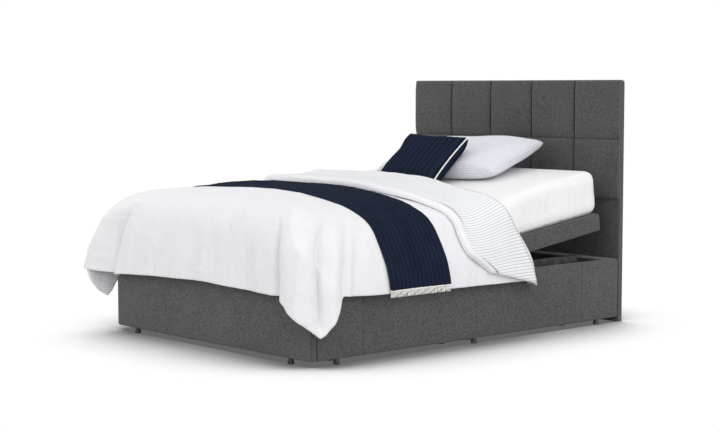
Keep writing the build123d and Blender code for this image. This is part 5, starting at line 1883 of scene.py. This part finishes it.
@dataclass
class Headboard:
    """The headboard's padded tiles, sewn edge to edge in two rows."""

    plan: Plan
    columns: int = 5
    rows: int = 2
    seam_gap: float = 0.0075
    corner_depth: float = 0.002
    side_depth: float = 0.010
    crown: float = 0.0205
    softness: float = 0.0016
    pucker: float = 0.0007
    board_gap: float = 0.0004
    lines: int = 27

    def tile(self, low: Vector, high: Vector, number: int) -> Piece:
        """One tile between two corners; its back lies on the board.

        Args:
            low: its lowest corner.
            high: its highest corner.
            number: its place in the row, which varies its creases.

        Returns:
            The tile.
        """
        marks = crowded(self.lines, 0.55)
        u, v = np.meshgrid(marks, marks, indexing="ij")
        half_x, half_z = (high.x - low.x) / 2, (high.z - low.z) / 2
        back = high.y
        swell = ((1 - np.abs(u) ** 5) * (1 - np.abs(v) ** 5)) ** 0.5
        edge = (1 - np.abs(u * v) ** 5) ** 0.7
        place = np.stack([u * half_x, v * half_z], axis=-1)
        soft = ripple(place, (0.12, 0.12), 3.0 + number) * self.softness * swell
        pulled = ripple(place, (0.035, 0.035), 11.0 + number) * self.pucker
        pulled = pulled * (1 - smooth(0.3, 1.0, swell))
        sides = self.corner_depth + (self.side_depth - self.corner_depth) * edge
        depth = sides + (self.crown - self.side_depth) * swell + soft + pulled
        x, z = (low.x + high.x) / 2 + u * half_x, (low.z + high.z) / 2 + v * half_z
        front = np.stack([x, back - depth, z], axis=-1)
        rim = np.concatenate([front[0], front[1:, -1], front[-1, -2::-1], front[-2:0:-1, 0]])
        wall = np.stack([rim, rim], axis=0)
        wall[1, :, 1] = back - self.board_gap
        face = cloth_piece("face", front, place)
        skirt = cloth_piece("skirt", wall, wall[..., [0, 2]], close_columns=True)
        tile = join("tile", [face, skirt])
        weld(tile, 1e-5)
        return tile

    def build(self, finishes: Finishes) -> list[Piece]:
        """Build both rows of tiles and dress them."""
        rows = []
        for row, name in enumerate(("upper", "lower")):
            node = f"headboard_tiles_{name}"
            low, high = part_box(node)
            pitch = (high.x - low.x + self.seam_gap) / self.columns
            tiles = []
            for column in range(self.columns):
                start = low.x + column * pitch
                near = Vector((start, low.y, low.z))
                far = Vector((start + pitch - self.seam_gap, high.y, high.z))
                tiles.append(self.tile(near, far, column + row * self.columns))
            tiles = join(f"headboard_pads_{name}", tiles)
            close_ends(tiles)
            finishes.dress(tiles, CHARCOAL)
            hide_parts(node)
            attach(tiles, Body.BASE.value)
            rows.append(tiles)
        return rows


@dataclass
class UpholsteredPanel:
    """A panel or deck section wrapped in cloth over thin padding."""

    node: str
    body: Body
    radius: float
    crown: float = 0.0015
    step: float = 0.02
    seams: Sequence[float] = ()
    seam_depth: float = 0.0022
    lean: bool = False

    def build(self, plan: Plan, finishes: Finishes) -> Piece:
        """Build the wrapped panel over its node and dress it.

        Args:
            plan: the bed's places.
            finishes: where finishes are kept.

        Returns:
            The panel.
        """
        low, high = self.bounds(plan)
        spans = [b - a for a, b in zip(low, high)]
        seams = [plan.at(place) - low[1] for place in self.seams]
        lines = [
            edge_lines(span, self.radius, self.step, seams if axis == 1 else ())
            for axis, span in enumerate(spans)
        ]
        grids, faces = blocky_grid(low, high, lines, self.radius)
        parts = []
        for grid, (axis, end) in zip(grids, faces):
            others = [a for a in range(3) if a != axis]
            share = [(grid[..., a] - low[a]) / spans[a] for a in others]
            swell = np.clip(16 * share[0] * (1 - share[0]) * share[1] * (1 - share[1]), 0, 1) ** 0.35
            puff = self.crown * swell + ripple(grid, (0.11, 0.11, 0.11), 4.2) * 0.0006 * swell
            for seam in self.seams:
                gap = np.abs(grid[..., 1] - plan.at(seam))
                if axis != 1:
                    puff = puff - self.seam_depth * np.exp(-((gap / 0.0024) ** 2))
                    puff = puff + 0.0006 * np.exp(-(((gap - 0.008) / 0.006) ** 2))
            grid[..., axis] += (1 if end else -1) * puff
            placed = self.placed(plan, grid)
            parts.append(cloth_piece(f"{self.node}_{axis}{end}", placed, grid[..., others]))
        panel = join(f"{self.node}_cover", parts)
        weld(panel, 2e-4)
        shade_smooth(panel)
        finishes.dress(panel, CHARCOAL)
        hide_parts(self.node)
        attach(panel, self.body.value)
        return panel

    def bounds(self, plan: Plan) -> tuple[list[float], list[float]]:
        """The panel's box before it is raised, a little inside its node's."""
        low, high = (list(corner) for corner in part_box(self.node))
        if self.lean:
            flat_low, flat_high = (list(corner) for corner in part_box("thigh_platform"))
            low = [flat_low[0], plan.at(plan.head_hinge[0] + 0.008), flat_low[2]]
            high = [flat_high[0], plan.at(plan.mattress_end), flat_high[2]]
        inset = self.crown * 0.4
        return [v + inset for v in low], [v - inset for v in high]

    def placed(self, plan: Plan, grid: np.ndarray) -> np.ndarray:
        """Raise the panel's places where its section is raised at rest."""
        if not self.lean:
            return grid
        return plan.leaned(grid - (0, plan.foot, 0), plan.rest_angle) + (0, plan.foot, 0)


class Frame:
    """The carried-over hard pieces: frame, hinges, motors, links, feet and board."""

    FINISH_OF_SLOT = {
        "charcoal_cloth": CHARCOAL,
        "softwood": TIMBER,
        "black_plastic": PLASTIC,
        "rubber": RUBBER,
        "zinc_steel": ZINC,
        "frame_paint": POWDER_COAT,
        "motor_casing": MOTOR_SHELL,
        "rod_steel": POLISHED_ROD,
    }

    def __init__(self, nodes: dict[str, Piece], record: dict) -> None:
        """Keep the nodes and which slot each one takes its finish from."""
        self.nodes = nodes
        self.slots = {part["node"]: part["material_slot"] for part in record["subparts"]}

    def build(self, finishes: Finishes) -> int:
        """Dress every hard node and return how many there are."""
        count = 0
        for name, piece in self.nodes.items():
            finish = self.FINISH_OF_SLOT.get(self.slots[name])
            if finish:
                finishes.dress(piece, finish)
                count += 1
        return count


@dataclass
class Studio:
    """A pale floor, soft lamps and the camera."""

    plan: Plan
    camera_place: tuple[float, float, float] = (5.6414, -5.1483, 1.1523)
    yaw: float = math.radians(48.002)
    pitch: float = math.radians(-4.63)
    lens: float = 79.44
    floor_half: float = 200.0
    surround: float = 0.84
    lamp_spread: float = 60
    shadow_reach: float = 0.75
    shadow_curve: tuple[float, float, float, float] = (0.42, 0.90, 0.13, 1.0)

    def lamp(self, name: str, turn: float, height: float, strength: float) -> None:
        """Add a broad soft lamp, far away.

        Args:
            name: the lamp's name.
            turn: where it stands, in degrees from +X towards +Y.
            height: its angle above the floor, in degrees.
            strength: how strong it is.
        """
        light = bpy.data.lights.new(name, "SUN")
        light.energy = strength
        light.angle = math.radians(self.lamp_spread)
        lamp = bpy.data.objects.new(name, light)
        turn, height = math.radians(turn), math.radians(height)
        flat = math.cos(height)
        towards = Vector((flat * math.cos(turn), flat * math.sin(turn), math.sin(height)))
        lamp.rotation_euler = towards.to_track_quat("Z", "Y").to_euler()
        bpy.context.scene.collection.objects.link(lamp)

    def floor(self) -> None:
        """Add the pale floor: white to the camera but for a painted soft shadow round the bed, an
        emission dimmed by ambient occlusion rather than a shadow cast by the lamps.
        """
        half = self.floor_half
        mesh = bpy.data.meshes.new("floor")
        corners = [(-half, -half, 0), (half, -half, 0), (half, half, 0), (-half, half, 0)]
        mesh.from_pydata(corners, [], [(0, 1, 2, 3)])
        floor = new_object("floor", mesh)
        material = bpy.data.materials.new("pale_floor")
        material.use_nodes = True
        tree = Tree(material.node_tree)
        shader = material.node_tree.nodes["Principled BSDF"]
        out = material.node_tree.nodes["Material Output"]
        shader.inputs["Base Color"].default_value = (0.6, 0.6, 0.6, 1)
        shader.inputs["Roughness"].default_value = 0.95
        shader.inputs["Specular IOR Level"].default_value = 0.0
        # Painted shadow: ambient occlusion sets how brightly the floor glows to the camera, so it greys
        # towards the bed and under it.
        near = tree.add("ShaderNodeAmbientOcclusion", samples=16)
        near.inputs["Distance"].default_value = self.shadow_reach
        open_share = tree.add("ShaderNodeMapRange", interpolation_type="SMOOTHSTEP")
        tree.link(near.outputs["AO"], open_share.inputs["Value"])
        for name, value in zip(("From Min", "From Max", "To Min", "To Max"), self.shadow_curve):
            open_share.inputs[name].default_value = value
        # The floor's glow: white away from the bed, dimmed near it by the painted shadow.
        white = tree.add("ShaderNodeEmission")
        tree.link(open_share.outputs["Result"], white.inputs["Strength"])
        mix = tree.add("ShaderNodeMixShader")
        tree.link(self.seen(tree), mix.inputs[0])
        tree.link(shader.outputs[0], mix.inputs[1])
        tree.link(white.outputs[0], mix.inputs[2])
        tree.link(mix.outputs[0], out.inputs["Surface"])
        floor.data.materials.append(material)

    @staticmethod
    def seen(tree: Tree) -> Socket:
        """1 where the camera looks, straight or by a reflection, else 0."""
        path = tree.add("ShaderNodeLightPath")
        glossy = tree.maths("MAXIMUM", path.outputs["Is Camera Ray"], path.outputs["Is Glossy Ray"])
        return tree.maths("MAXIMUM", glossy, path.outputs["Is Transmission Ray"])

    def world(self) -> None:
        """Set an even surround that shows white to the camera."""
        world = bpy.data.worlds.new("studio")
        world.use_nodes = True
        tree = Tree(world.node_tree)
        background = world.node_tree.nodes["Background"]
        tree.feed(background.inputs["Color"], (1, 1, 1, 1))
        tree.feed(background.inputs["Strength"], tree.between(self.seen(tree), self.surround, 1.0))
        bpy.context.scene.world = world

    def build(self) -> None:
        """Build the floor, the surround, the lamps and the camera."""
        self.floor()
        self.world()
        self.lamp("near_side", -8, 21, 1.0)
        self.lamp("foot_side", -92, 21, 0.54)
        data = bpy.data.cameras.new("camera")
        data.lens = self.lens
        data.sensor_width = 36
        data.sensor_fit = "HORIZONTAL"
        data.clip_end = 200
        camera = bpy.data.objects.new("camera", data)
        camera.location = self.camera_place
        flat = math.cos(self.pitch)
        ahead = Vector((-math.sin(self.yaw) * flat, math.cos(self.yaw) * flat, math.sin(self.pitch)))
        camera.rotation_euler = ahead.to_track_quat("-Z", "Y").to_euler()
        bpy.context.scene.collection.objects.link(camera)
        bpy.context.scene.camera = camera
        bpy.context.scene.view_settings.view_transform = "Standard"


def report(pieces: Sequence[Piece]) -> None:
    """Log each piece with its size."""
    for piece in pieces:
        size = ", ".join(f"{value:.3f}" for value in piece.dimensions)
        LOG.info("%s: %s m, %d faces", piece.name, size, len(piece.data.polygons))


def main() -> None:
    """Build the dressed bed around its frame."""
    logging.basicConfig(level=logging.INFO, format="%(name)s: %(message)s")
    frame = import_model()
    plan = Plan()
    plan.read_joints(frame["joints"])
    finishes = Finishes(Effects())
    Studio(plan).build()
    hard = Frame(frame["nodes"], frame["record"]).build(finishes)
    LOG.info("%d carried-over nodes dressed", hard)
    panels = [UpholsteredPanel("foot_panel", Body.BASE, radius=0.009)]
    for hand in ("right", "left"):
        node = f"side_panel_{hand}"
        panels.append(UpholsteredPanel(node, Body.BASE, radius=0.009, seams=PANEL_SEAMS))
    for section, body in (
        ("calf", Body.CALF), ("thigh", Body.THIGH), ("seat", Body.BASE), ("head", Body.HEAD),
    ):
        panels.append(UpholsteredPanel(
            f"{section}_platform", body, radius=0.013, crown=0.003, lean=body is Body.HEAD,
        ))
    report([panel.build(plan, finishes) for panel in panels])
    report(Headboard(plan).build(finishes))
    form = DressForm(plan)
    for maker in (Mattress, Duvet, TurnedBackEnd, Runner):
        report(maker(plan, form).build(finishes))
    pillow = Pad(
        plan, "sleeping_pillow", "pillow", "striped_cotton", PILLOW_COTTON,
        length=0.735, width=0.478, height=0.150, under_share=1.0, station=1.635, side=0.0,
        lean=8.5, turn=8.8, fullness=4.5, roundness=0.42, draw_in=0.02,
    )
    cushion = CordedPad(
        plan, "channelled_cushion", "cushion", "navy_cloth", CUSHION_NAVY,
        length=0.468, width=0.306, height=0.092, under_share=2.3, station=1.440, side=-0.030,
        lean=37, turn=-7.2, fill=0.7, channels=11, channel_depth=0.004, draw_in=0.06, seam_lift=0.058,
        fullness=6, roundness=0.4,
        rows=89, columns=44, pressure=1.5, cap=0.006,
    )
    report(pillow.build(finishes))
    report(cushion.build(finishes))


if __name__ == "__main__":
    main()
